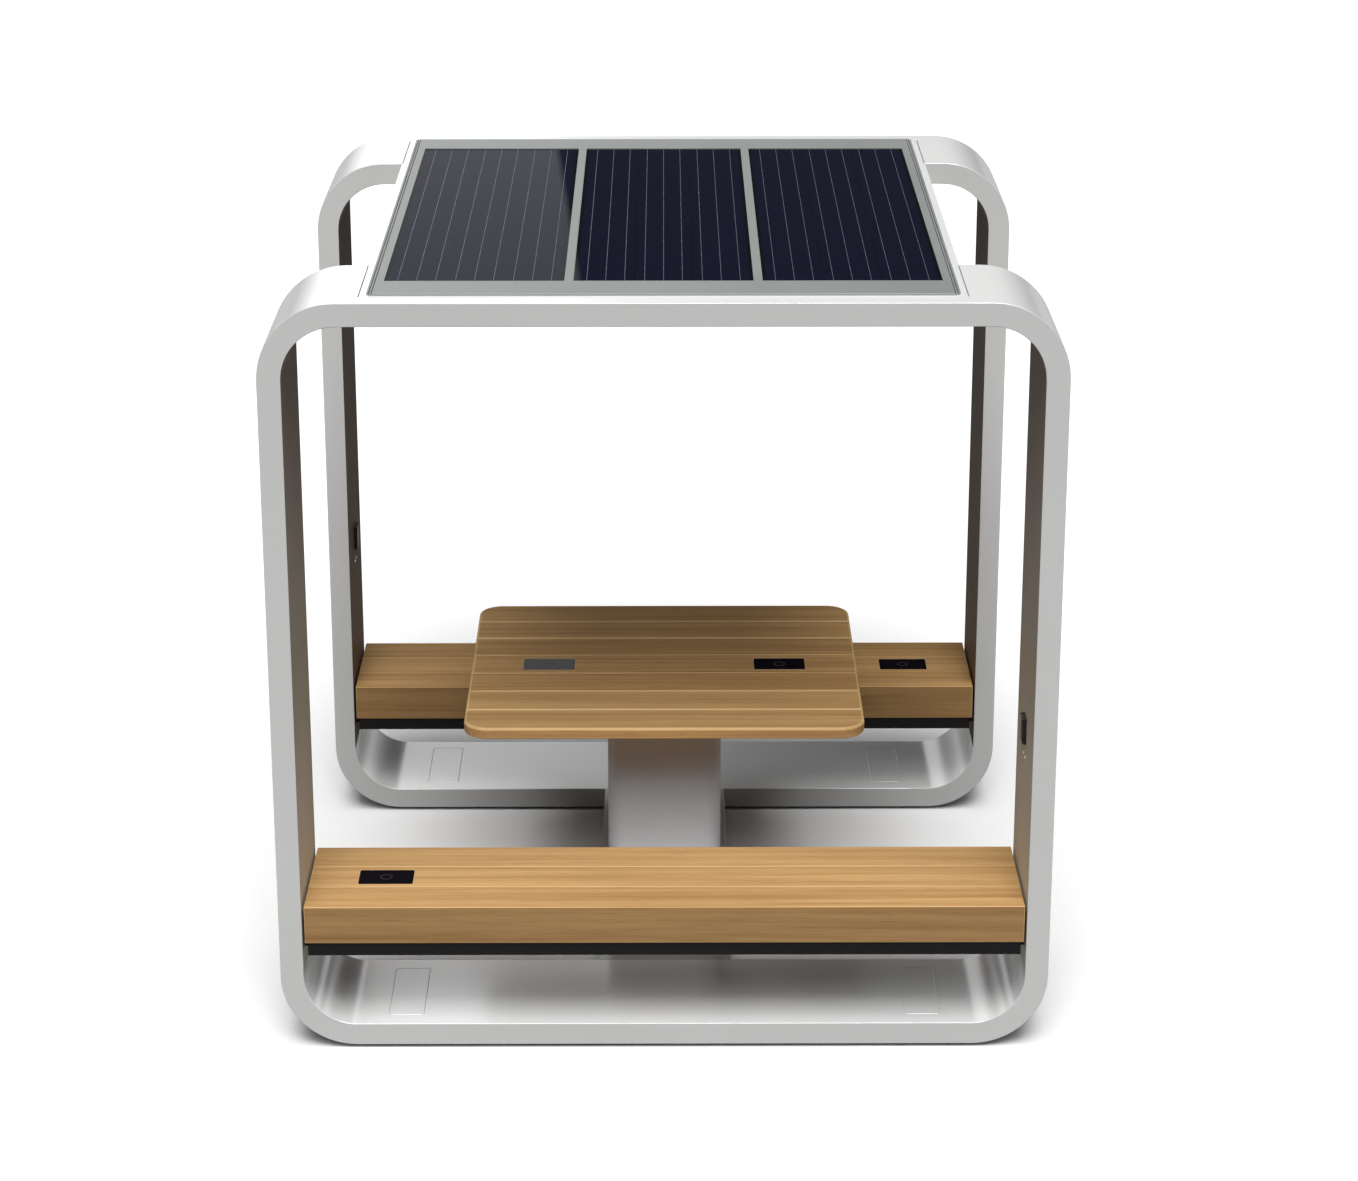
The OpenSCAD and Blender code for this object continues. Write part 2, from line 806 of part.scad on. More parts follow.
module frame_bolts() {
    color("silver") {
        for (sx = [0, 1], sy = [0, 1]) mirror([sx, 0, 0]) mirror([0, sy, 0]) {
            for (p = leg_bolts) bolt(p, [0, 0, 1]);
            for (p = bracket_bolts) bolt(p, [1, 0, 0]);
        }
        for (turn = [0, 180]) rotate([0, 0, turn]) for (p = spine_bolts) bolt(p, [0, 1, 0]);
        for (p = pedestal_bolts) bolt(p, [0, 0, -1]);
        for (p = head_bolts) bolt(p, [0, 0, 1]);
    }
}

module board_screws() {
    color("silver") {
        for (turn = [0, 180]) rotate([0, 0, turn])
            for (p = bench_screws) screw(p, [0, 0, 1], web_flange_t + screw_bite);
        for (p = table_screws) screw(p, [0, 0, 1], bearer_t + screw_bite);
    }
}

// Benches

// A tray under the bench with upright webs that carry the boards
module bench_frame() {
    web_y = hoop_d / 2 - board_t - web_gap;
    color("#252225") difference() {
        union() {
            difference() {
                block([-pan_x, -hoop_y - pan_y, pan_z], [pan_x, -hoop_y + pan_y, apron_z]);
                block(
                    [-pan_x + pan_wall, -hoop_y - pan_y + pan_wall, pan_z + pan_wall],
                    [pan_x - pan_wall, -hoop_y + pan_y - pan_wall, apron_z + cut]
                );
            }
            for (x = web_xs) {
                block(
                    [x - web_t / 2, -hoop_y - web_y, pan_z + pan_wall - weld],
                    [x + web_t / 2, -hoop_y + web_y, bench_board_z - web_flange_t + weld]
                );
                block(
                    [x - web_flange_w / 2, -hoop_y - web_y, bench_board_z - web_flange_t],
                    [x + web_flange_w / 2, -hoop_y + web_y, bench_board_z]
                );
            }
        }
        hole([-pan_x, -hoop_y, bench_lead_z], [1, 0, 0], lead_hole_r, 2 * pan_x);
        for (p = bracket_bolts) {
            bolt_hole(p, [1, 0, 0]);
            mirrored_x() bolt_hole(p, [1, 0, 0]);
        }
        for (p = bench_screws) screw_hole(p, [0, 0, 1], web_flange_t);
    }
}

module front_bench_frame() { bench_frame(); }
module back_bench_frame() { turned() bench_frame(); }

module bench_brackets() {
    color("#252225") for (sx = [0, 1], sy = [0, 1]) mirror([sx, 0, 0]) mirror([0, sy, 0]) difference() {
        block(
            [pan_x, -hoop_y - bracket_l / 2, pan_z + bracket_margin],
            [post_x, -hoop_y + bracket_l / 2, apron_z - bracket_margin]
        );
        for (p = bracket_bolts) bolt_hole(p, [1, 0, 0]);
        hole([pan_x, -hoop_y, bench_lead_z], [1, 0, 0], lead_hole_r, bracket_t);
    }
}

module bench_end_boards() {
    color("#b98d5a") for (sx = [0, 1], sy = [0, 1]) mirror([sx, 0, 0]) mirror([0, sy, 0]) block(
        [bench_x - board_t, -half_d + board_t, apron_z],
        [bench_x, -bay_y - board_t, bench_board_z]
    );
}

// A bench piece whose section, with y and z from the outer top edge, runs along X
module along_bench(section) {
    translate([bench_x, -half_d, seat_z]) rotate([90, 0, -90]) linear_extrude(2 * bench_x)
        polygon([for (p = section) [-p.x, p.y]]);
}

// The outer board and apron meet in a mitre along the top edge
module mitred_apron() {
    along_bench([[0, 0], [0, -apron_h], [board_t, -apron_h], [board_t, -board_t]]);
}

module mitred_board() {
    along_bench([[0, 0], [board_t, -board_t], [bench_board_w, -board_t], [bench_board_w, 0]]);
}

// Draws a piece of the outer side on the inner side, mirrored in the bench's middle
module inner_side() {
    translate([0, -2 * hoop_y, 0]) mirror([0, 1, 0]) children();
}

module bench_screw_holes() {
    for (p = bench_screws) screw_hole(p, [0, 0, 1], web_flange_t + screw_bite);
}

module outer_board() {
    color("#c49b66") difference() {
        mitred_board();
        bench_screw_holes();
    }
}

module inner_board() {
    color("#c49b66") difference() {
        inner_side() mitred_board();
        bench_screw_holes();
    }
}

module middle_board() {
    color("#c49b66") difference() {
        block(
            [-bench_x, bench_board_ys[1] - bench_board_w / 2, bench_board_z],
            [bench_x, bench_board_ys[1] + bench_board_w / 2, seat_z]
        );
        bench_screw_holes();
        translate([bench_pad_x, -hoop_y, seat_z]) pad_pocket(board_t);
    }
}

module front_bench_outer_apron() { color("#94774f") mitred_apron(); }
module front_bench_inner_apron() { color("#94774f") inner_side() mitred_apron(); }
module back_bench_outer_apron() { turned() front_bench_outer_apron(); }
module back_bench_inner_apron() { turned() front_bench_inner_apron(); }
module front_bench_outer_board() { outer_board(); }
module front_bench_middle_board() { middle_board(); }
module front_bench_inner_board() { inner_board(); }
module back_bench_outer_board() { turned() outer_board(); }
module back_bench_middle_board() { turned() middle_board(); }
module back_bench_inner_board() { turned() inner_board(); }

// Table

module table_board(k) {
    color("#9a7a4a") difference() {
        intersection() {
            rounded_plate([table_w, table_l], table_r, table_board_z, table_z);
            block(
                [-table_w, table_board_ys[k] - table_board_w / 2, table_board_z - cut],
                [table_w, table_board_ys[k] + table_board_w / 2, table_z + cut]
            );
        }
        for (p = table_screws) screw_hole(p, [0, 0, 1], bearer_t + screw_bite);
    }
}

module table_front_board() { table_board(0); }
module table_back_board() { table_board(table_boards - 1); }
module table_plain_boards() {
    middle = (table_boards - 1) / 2;
    for (k = [1 : table_boards - 2]) if (k != middle) table_board(k);
}
module table_middle_board() {
    difference() {
        table_board((table_boards - 1) / 2);
        for (s = [-1, 1]) translate([s * table_pad_x, 0, table_z]) pad_pocket(table_t);
    }
}

// Flat bars under the boards on two rails that cross the pedestal
module table_bearers() {
    bearer_y = table_l / 2 - bearer_inset;
    color("#252225") difference() {
        union() {
            for (x = bearer_xs) block(
                [x - bearer_w / 2, -bearer_y, bearer_z],
                [x + bearer_w / 2, bearer_y, table_board_z]
            );
            for (s = [-1, 1]) box_tube(
                [-table_rail_x, s * table_rail_y - bearer_w / 2, table_rail_z],
                [table_rail_x, s * table_rail_y + bearer_w / 2, bearer_z],
                rail_wall, [1, 0, 0]
            );
        }
        for (p = table_screws) screw_hole(p, [0, 0, 1], bearer_t);
        for (p = head_bolts) bolt_hole(p, [0, 0, 1]);
    }
}

module table_head_plate() {
    color("#bdbdbb") difference() {
        rounded_plate([ped_w, ped_w], ped_r, head_z, table_rail_z);
        hole([0, 0, head_z], [0, 0, 1], head_hole_r, head_t);
        for (p = head_bolts) bolt_hole(p, [0, 0, 1]);
    }
}

// Pedestal

// A slab across the back wall, between two depths, grown past the door opening by grow
module door_slab(grow, y0, y1) {
    block(
        [-door_w / 2 - grow, y0, door_z - grow],
        [door_w / 2 + grow, y1, door_z + door_h + grow]
    );
}

module hinge_bar(z0, height) {
    translate([hinge_x, hinge_y, z0]) cylinder(r = hinge_r, h = height);
}

module hinge_bores() {
    for (z = hinge_zs) hole([hinge_x, hinge_y, z], [0, 0, 1], pin_r + run, 2 * knuckle_h + door_knuckle_h);
}

module pedestal_column() {
    color("#bdbdbb") difference() {
        union() {
            difference() {
                rounded_plate([ped_w, ped_w], ped_r, floor_z, head_z);
                rounded_plate(
                    [2 * ped_in, 2 * ped_in], ped_r - ped_wall,
                    floor_z + ped_base_t, head_z - flange_t
                );
                rounded_plate(
                    [2 * (ped_in - flange_w), 2 * (ped_in - flange_w)], ped_r / 2,
                    head_z - flange_t - cut, head_z + cut
                );
            }
            door_slab(stop_rim, stop_y - stop_t, door_y - ped_wall + weld);
            for (z = hinge_zs, z0 = [z, z + knuckle_h + door_knuckle_h]) {
                hinge_bar(z0, knuckle_h);
                block(
                    [hinge_x - hinge_reach, door_y - weld, z0],
                    [hinge_x, door_y + hinge_leaf_t, z0 + knuckle_h]
                );
            }
        }
        door_slab(0, stop_y, door_y + cut);
        door_slab(-stop_w, stop_y - stop_t - cut, door_y);
        hinge_bores();
        for (s = [-1, 1])
            hole([s * cable_hole_x, 0, floor_z], [0, 0, 1], cable_hole_r, ped_base_t);
        for (p = pedestal_bolts) bolt_hole(p, [0, 0, -1]);
        for (p = head_bolts) bolt_hole(p, [0, 0, 1]);
    }
}

module service_door() {
    color("#b4b4b2") difference() {
        union() {
            door_slab(-door_gap, door_y - ped_wall, door_y);
            for (z = hinge_zs) {
                hinge_bar(z + knuckle_h + move_gap, door_knuckle_h - 2 * move_gap);
                block(
                    [hinge_x, door_y + move_gap, z + knuckle_h + move_gap],
                    [door_gap - door_w / 2, door_y + hinge_leaf_t, z + knuckle_h + door_knuckle_h - move_gap]
                );
                block(
                    [door_gap - door_w / 2, door_y - weld, z + knuckle_h + move_gap],
                    [
                        door_gap - door_w / 2 + hinge_reach,
                        door_y + hinge_leaf_t,
                        z + knuckle_h + door_knuckle_h - move_gap
                    ]
                );
            }
        }
        hinge_bores();
        hole([lock_x, door_y - ped_wall, lock_z], [0, 1, 0], lock_r + run, ped_wall);
    }
}

module door_hinge_pins() {
    color("silver") for (z = hinge_zs) translate([hinge_x, hinge_y, z - pin_proud])
        cylinder(r = pin_r, h = 2 * knuckle_h + door_knuckle_h + 2 * pin_proud);
}

module door_seal() {
    color("#1c1c1c") difference() {
        door_slab(-fit, stop_y, stop_y + door_seal_t - move_gap);
        door_slab(-stop_w, stop_y - cut, door_y);
    }
}

// A quarter-turn lock: its cam stands up when the door is free
module door_lock() {
    color("silver") difference() {
        union() {
            translate([lock_x, cam_y, lock_z]) facing([0, 1, 0]) cylinder(r = lock_r, h = door_y - cam_y);
            translate([lock_x, door_y, lock_z]) facing([0, 1, 0]) cylinder(r = lock_head_r, h = lock_head_h);
            block([lock_x - cam_w / 2, cam_y, lock_z], [lock_x + cam_w / 2, cam_y + cam_t, lock_z + cam_l]);
        }
        block(
            [lock_x - lock_slot_w / 2, door_y + lock_head_h - lock_slot_d, lock_z - lock_r / 2],
            [lock_x + lock_slot_w / 2, door_y + lock_head_h + cut, lock_z + lock_r / 2]
        );
    }
}

module battery_pack() {
    bottom = floor_z + ped_base_t;
    color("#2e3338") translate([0, battery_y, 0])
        rounded_plate([battery_w, battery_l], battery_r, bottom, bottom + battery_h);
}

// A finned case on the pedestal's front wall
module finned_case(z0, height) {
    back = -ped_in;
    block([-module_w / 2, back, z0], [module_w / 2, back + module_d - fin_d, z0 + height]);
    for (k = [0 : fin_count - 1]) {
        x = -module_w / 2 + k * (module_w - fin_t) / (fin_count - 1);
        block([x, back + module_d - fin_d - weld, z0], [x + fin_t, back + module_d, z0 + height]);
    }
}

module charge_controller() { color("#3f5f7f") finned_case(controller_z, controller_h); }
module power_converter() { color("#5a5f63") finned_case(converter_z, converter_h); }

// Charging pads

// The stepped pocket for a pad, cut down from a board's top at z = 0
module pad_pocket(depth) {
    rounded_plate([pad_l + 2 * pad_fit, pad_w + 2 * pad_fit], pad_corner_r + pad_fit, -pad_t, cut);
    rounded_plate(
        [pad_l - 2 * pad_ledge + 2 * pad_fit, pad_w - 2 * pad_ledge + 2 * pad_fit], pad_corner_r,
        -depth - cut, 0
    );
}

// Puts its children at each of the four pads, with z = 0 at the glass's top
module at_pads() {
    for (turn = [0, 180]) rotate([0, 0, turn]) {
        translate([bench_pad_x, -hoop_y, seat_z]) children();
        translate([table_pad_x, 0, table_z]) children();
    }
}

module pad_glasses() {
    color("#141416") at_pads() rounded_plate([pad_l, pad_w], pad_corner_r, -pad_t, 0);
}

module pad_housings() {
    size = [pad_l - 2 * pad_ledge, pad_w - 2 * pad_ledge];
    color("#202022") at_pads() difference() {
        rounded_plate(size, pad_corner_r, -pad_t - tub_h, -pad_t);
        rounded_plate(
            [size.x - 2 * tub_wall, size.y - 2 * tub_wall], pad_corner_r / 2,
            -pad_t - tub_h + tub_wall, -pad_t + cut
        );
    }
}

module pad_coils() {
    base = -pad_t - tub_h + tub_wall;
    color("#b06a3a") at_pads() difference() {
        translate([0, 0, base]) cylinder(r = coil_r, h = coil_t);
        translate([0, 0, base - cut]) cylinder(r = coil_hole_r, h = coil_t + 2 * cut);
    }
}

// USB outlets

module usb_outlet() {
    axle = [usb_axis_x, -hoop_y, usb_axis_z];
    ear_y = usb_w / 2 - usb_ear_w / 2;
    ear_r = usb_barrel_r + usb_ear_rim;
    difference() {
        union() {
            block(
                [usb_x, -hoop_y - usb_w / 2, usb_z - usb_h / 2],
                [post_x, -hoop_y + usb_w / 2, usb_z + usb_h / 2]
            );
            block(
                [post_x - weld, -hoop_y - usb_back_w / 2, usb_z - usb_back_h / 2],
                [post_x + usb_back_t, -hoop_y + usb_back_w / 2, usb_z + usb_back_h / 2]
            );
            for (s = [-1, 1]) {
                translate(axle + [0, s * ear_y, 0]) facing([0, 1, 0])
                    cylinder(r = ear_r, h = usb_ear_w, center = true);
                block(
                    axle + [0, s * ear_y - usb_ear_w / 2, -ear_r],
                    [usb_x + weld, -hoop_y + s * ear_y + usb_ear_w / 2, usb_axis_z + ear_r]
                );
            }
        }
        hole(axle + [0, -usb_w / 2, 0], [0, 1, 0], usb_axle_r + run, usb_w);
        for (s = [-1, 1]) translate([0, 0, usb_z - port_drop + s * port_pitch / 2]) block(
            [usb_x - cut, -hoop_y - port_w / 2, -port_h / 2],
            [usb_x + port_depth, -hoop_y + port_w / 2, port_h / 2]
        );
    }
}

module usb_outlets() {
    color("#161618") for (turn = [0, 180]) rotate([0, 0, turn]) usb_outlet();
}

// The flap hangs from its own axle stubs, which turn in the outlet's ears
module usb_cover() {
    axle = [usb_axis_x, -hoop_y, usb_axis_z];
    inner = usb_w / 2 - usb_ear_w - move_gap;
    color("#1d1d20") {
        translate(axle) facing([0, 1, 0]) cylinder(r = usb_barrel_r, h = 2 * inner, center = true);
        translate(axle) facing([0, 1, 0])
            cylinder(r = usb_axle_r, h = usb_w - 2 * usb_axle_inset, center = true);
        block(
            [usb_axis_x + usb_barrel_r - usb_flap_t, -hoop_y - inner, usb_z - usb_h / 2],
            [usb_axis_x + usb_barrel_r, -hoop_y + inner, usb_axis_z]
        );
    }
}

module front_usb_cover() { usb_cover(); }
module back_usb_cover() { turned() usb_cover(); }

module status_lights() {
    color("#dfe8e4") for (turn = [0, 180], s = [-1, 1]) rotate([0, 0, turn])
        translate([post_x - light_proud, -hoop_y + s * light_pitch / 2, usb_z - light_drop])
            facing([1, 0, 0]) cylinder(r = light_r, h = light_l);
}

// Leads

function unit(v) = v / norm(v);
function place(p) = [p.x, p.y, p.z];

// The points of a quarter bend at b, between runs towards a and towards c
function bend(a, b, c) =
    let (u = unit(place(a) - place(b)), v = unit(place(c) - place(b)), r = b[3], steps = 4)
    [for (k = [0 : steps])
        place(b) + u * r * (1 - sin(90 * k / steps)) + v * r * (1 - cos(90 * k / steps))];

function lead_path(p) = [
    place(p[0]),
    for (k = [1 : 1 : len(p) - 2]) each bend(p[k - 1], p[k], p[k + 1]),
    place(p[len(p) - 1]),
];

function tangents(p) = [
    for (k = [0 : len(p) - 1]) unit(p[min(k + 1, len(p) - 1)] - p[max(k - 1, 0)])
];

// Carries the ring's first direction along the path without twisting it
function carried(t, n, k = 0, out = []) =
    k == len(t) ? out :
    let (m = unit(n - t[k] * (t[k] * n)))
    carried(t, m, k + 1, concat(out, [m]));

// A round lead along right-angled runs, with an eight-sided section
module lead(points, start = [0.1, 0.2, 0.3]) {
    sides = 8;
    p = lead_path(points);
    t = tangents(p);
    n = carried(t, start);
    last = (len(p) - 1) * sides;
    rings = [
        for (k = [0 : len(p) - 1], a = [0 : sides - 1])
            let (m = cross(t[k], n[k]), turn = 360 * a / sides)
            p[k] + lead_r * (n[k] * cos(turn) + m * sin(turn))
    ];
    walls = [
        for (k = [0 : len(p) - 2], a = [0 : sides - 1])
            let (b = (a + 1) % sides, lo = k * sides, hi = lo + sides)
            each [[lo + a, hi + a, hi + b], [lo + a, hi + b, lo + b]]
    ];
    ends = [[for (a = [0 : sides - 1]) a], [for (a = [sides - 1 : -1 : 0]) last + a]];
    polyhedron(rings, concat(walls, ends));
}

// From a bench pad through the bench frame into the post beside it
function bench_pad_run() = [
    [bench_pad_x, -hoop_y, seat_z - pad_t - tub_h],
    [bench_pad_x, -hoop_y, bench_lead_z, small_r],
    [-post_mid_x, -hoop_y, bench_lead_z, small_r],
    [-post_mid_x, -hoop_y - lane, bench_lead_z, small_r],
];

// From a USB outlet's back across the post to its lane
function usb_run(lane_y) = [
    [post_x + usb_back_t, -hoop_y, usb_z],
    [usb_lead_x, -hoop_y, usb_z, tight_r],
    [usb_lead_x, lane_y, usb_z, tight_r],
];

// Down a post, along the base to rise, then up and across to a module; back is -1 in a turned lead
function floor_run(x, lane_y, rise, z, back = 1) = [
    [x, lane_y, base_mid_z, bend_r],
    [rise.x, lane_y, base_mid_z, small_r],
    [rise.x, rise.y, base_mid_z, small_r],
    [rise.x, rise.y, z, small_r],
    [rise.x, back * module_lead_y, z, small_r],
    [sign(rise.x) * module_w / 2, back * module_lead_y, z],
];

function table_pad_run(s) = [
    [s * table_pad_x, 0, table_z - pad_t - tub_h],
    [s * table_pad_x, 0, table_lead_z, tight_r],
    [s * table_lead_x, 0, table_lead_z, tight_r],
    [s * table_lead_x, 0, converter_z + converter_h + tight_r * 2, tight_r],
    [s * table_lead_x, module_lead_y, converter_z + converter_h + tight_r * 2, tight_r],
    [s * table_lead_x, module_lead_y, converter_z + converter_h],
];

module solar_leads() {
    for (s = [-1, 1]) lead([
        [s * (panel_pitch - box_w / 2), box_y, jumper_z],
        [s * box_w / 2, box_y, jumper_z],
    ]);
    lead(concat(
        [
            [-panel_pitch, box_y + box_l / 2, roof_lead_z],
            [-panel_pitch, hoop_y + lane, roof_lead_z, small_r],
            [-post_mid_x, hoop_y + lane, roof_lead_z, bend_r],
        ],
        floor_run(-post_mid_x, hoop_y + lane, [lead_step - cable_hole_x, 0], controller_z + controller_h / 2)
    ));
}

module charging_leads() {
    lead(concat(
        usb_run(-hoop_y - lane),
        floor_run(usb_lead_x, -hoop_y - lane, [cable_hole_x + lead_step, -lead_step], port_zs[3])
    ));
    turned() lead(concat(
        usb_run(-hoop_y - inner_lane),
        floor_run(usb_lead_x, -hoop_y - inner_lane, [cable_hole_x + lead_step, 0], port_zs[1], -1)
    ));
    lead(concat(
        bench_pad_run(),
        floor_run(-post_mid_x, -hoop_y - lane, [cable_hole_x - lead_step, -lead_step], port_zs[2])
    ));
    turned() lead(concat(
        bench_pad_run(),
        floor_run(-post_mid_x, -hoop_y - lane, [-cable_hole_x, -lead_step], port_zs[0], -1)
    ));
    for (s = [-1, 1]) lead(table_pad_run(s));
}

module battery_leads() {
    lead([[0, module_lead_y, floor_z + ped_base_t + battery_h], [0, module_lead_y, controller_z]]);
    lead([[0, module_lead_y, controller_z + controller_h], [0, module_lead_y, converter_z]]);
}

module leads() {
    color("#151515") {
        solar_leads();
        charging_leads();
        battery_leads();
    }
}

front_left_leg();
front_right_leg();
back_left_leg();
back_right_leg();
front_base_beam();
back_base_beam();
floor_spine();
foot_strips();
front_left_hatch();
front_right_hatch();
back_left_hatch();
back_right_hatch();
roof_tray();
roof_chassis();
ceiling_panel();
ceiling_screws();
panel_frame();
panel_seal();
left_solar_panel();
middle_solar_panel();
right_solar_panel();
junction_boxes();
frame_bolts();
board_screws();
front_bench_frame();
back_bench_frame();
bench_brackets();
bench_end_boards();
front_bench_outer_apron();
front_bench_inner_apron();
back_bench_outer_apron();
back_bench_inner_apron();
front_bench_outer_board();
front_bench_middle_board();
front_bench_inner_board();
back_bench_outer_board();
back_bench_middle_board();
back_bench_inner_board();
table_front_board();
table_back_board();
table_middle_board();
table_plain_boards();
table_bearers();
table_head_plate();
pedestal_column();
service_door();
door_hinge_pins();
door_seal();
door_lock();
battery_pack();
charge_controller();
power_converter();
pad_glasses();
pad_housings();
pad_coils();
usb_outlets();
front_usb_cover();
back_usb_cover();
status_lights();
leads();
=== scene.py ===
"""Looks for a solar charging table: two silver hoops that carry a solar roof, two benches and a table.

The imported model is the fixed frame, in metres: X to the right, Y to the back, Z up.
"""
import json
import logging
import math
import random
from collections.abc import Callable, Iterable
from dataclasses import dataclass, replace
from enum import Enum, IntEnum

import bmesh
import bpy
from mathutils import Euler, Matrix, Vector

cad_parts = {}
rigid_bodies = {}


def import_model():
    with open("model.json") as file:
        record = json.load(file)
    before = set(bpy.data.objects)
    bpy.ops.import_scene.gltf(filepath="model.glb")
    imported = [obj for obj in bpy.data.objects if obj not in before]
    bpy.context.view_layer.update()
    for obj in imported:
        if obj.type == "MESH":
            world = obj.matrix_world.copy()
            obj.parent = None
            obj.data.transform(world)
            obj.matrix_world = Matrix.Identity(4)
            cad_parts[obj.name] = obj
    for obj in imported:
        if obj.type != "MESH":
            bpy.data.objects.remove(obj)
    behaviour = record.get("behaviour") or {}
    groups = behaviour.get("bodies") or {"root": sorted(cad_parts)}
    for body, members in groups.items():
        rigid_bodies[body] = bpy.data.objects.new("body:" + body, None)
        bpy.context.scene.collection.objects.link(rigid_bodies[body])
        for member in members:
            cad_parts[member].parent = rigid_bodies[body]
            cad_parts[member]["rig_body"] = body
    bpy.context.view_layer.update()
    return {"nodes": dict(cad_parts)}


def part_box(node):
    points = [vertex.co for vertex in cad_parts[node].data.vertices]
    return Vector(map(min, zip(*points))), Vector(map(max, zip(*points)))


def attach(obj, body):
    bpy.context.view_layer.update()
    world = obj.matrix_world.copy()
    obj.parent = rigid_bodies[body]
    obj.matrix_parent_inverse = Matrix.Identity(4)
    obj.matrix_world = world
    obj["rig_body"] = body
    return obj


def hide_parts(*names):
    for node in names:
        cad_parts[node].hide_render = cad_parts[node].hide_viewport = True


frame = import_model()

log = logging.getLogger("solar_table")

MM = 0.001
# Places nearer than this count as the same place
TINY = 0.01 * MM
# Mesh points nearer than this are made one point, and faces that turn by less than this one face
WELD = 0.001 * MM
FLAT = math.radians(0.5)
# An edge that turns by more than this stays an edge, and can be rounded
SHARP = math.radians(30)
# The cosine within which a face counts as level, or as square to an axis
LEVEL = 0.9
# The part of a normal along an axis from which a face counts as turned that way at all
ACROSS = 0.1
# A noise hardly leaves this range, so what follows it there shows no rim
NOISE_SPAN = (0.1, 0.9)
CLOUD_DETAIL = 4.0
GRAIN_DETAIL = 3.0
# A calmed gloss fades while the surface turns from the eye between these, where 0 is squarely and 1 is along
FADE_SPAN = (0.3, 0.55)


def linear(hex_colour: str) -> tuple[float, float, float, float]:
    """Turns an sRGB hex colour into linear red, green, blue and alpha.

    Args:
        hex_colour: A colour such as "#b9b9b9".

    Returns:
        The four linear channels, with alpha 1.
    """
    channels = [int(hex_colour[k:k + 2], 16) / 255 for k in (1, 3, 5)]
    light = [c / 12.92 if c <= 0.04045 else ((c + 0.055) / 1.055) ** 2.4 for c in channels]
    return (light[0], light[1], light[2], 1.0)


def add_node(tree: bpy.types.NodeTree, kind: str, settings: dict | None = None,
             links: dict | None = None) -> bpy.types.Node:
    """Adds one node with its settings and links.

    Args:
        tree: The node tree to add to.
        kind: The node's type, such as "ShaderNodeTexNoise".
        settings: Values by name. A name that the node itself has is set there, any other on an input socket.
        links: Output sockets by the name or number of the input socket that each one feeds.

    Returns:
        The new node.
    """
    node = tree.nodes.new(kind)
    for key, value in (settings or {}).items():
        if isinstance(key, str) and hasattr(node, key):
            setattr(node, key, value)
        else:
            node.inputs[key].default_value = value
    for key, output in (links or {}).items():
        tree.links.new(output, node.inputs[key])
    return node


def new_material(name: str) -> tuple[bpy.types.Material, bpy.types.NodeTree, bpy.types.Node]:
    """Makes an empty material with one shader.

    Args:
        name: The material's name.

    Returns:
        The material, its node tree and its shader node.
    """
    material = bpy.data.materials.new(name)
    material.use_nodes = True
    tree = material.node_tree
    tree.nodes.clear()
    shader = add_node(tree, "ShaderNodeBsdfPrincipled")
    add_node(tree, "ShaderNodeOutputMaterial", links={"Surface": shader.outputs["BSDF"]})
    return material, tree, shader


def calm_glare(tree: bpy.types.NodeTree, shader: bpy.types.Node, level: float, low: float) -> None:
    """Takes most of the mirror image off a surface that is looked along, as a coating or an oil does.

    Args:
        tree: The material's node tree.
        shader: Its shader node.
        level: How strongly it mirrors when it is looked at squarely.
        low: How strongly it mirrors when it is looked along.
    """
    along = add_node(tree, "ShaderNodeLayerWeight", {"Blend": 0.5}).outputs["Facing"]
    kept = add_node(tree, "ShaderNodeMapRange", {
        "From Min": FADE_SPAN[0], "From Max": FADE_SPAN[1], "To Min": level, "To Max": low,
    }, {"Value": along})
    tree.links.new(kept.outputs[0], shader.inputs["Specular IOR Level"])


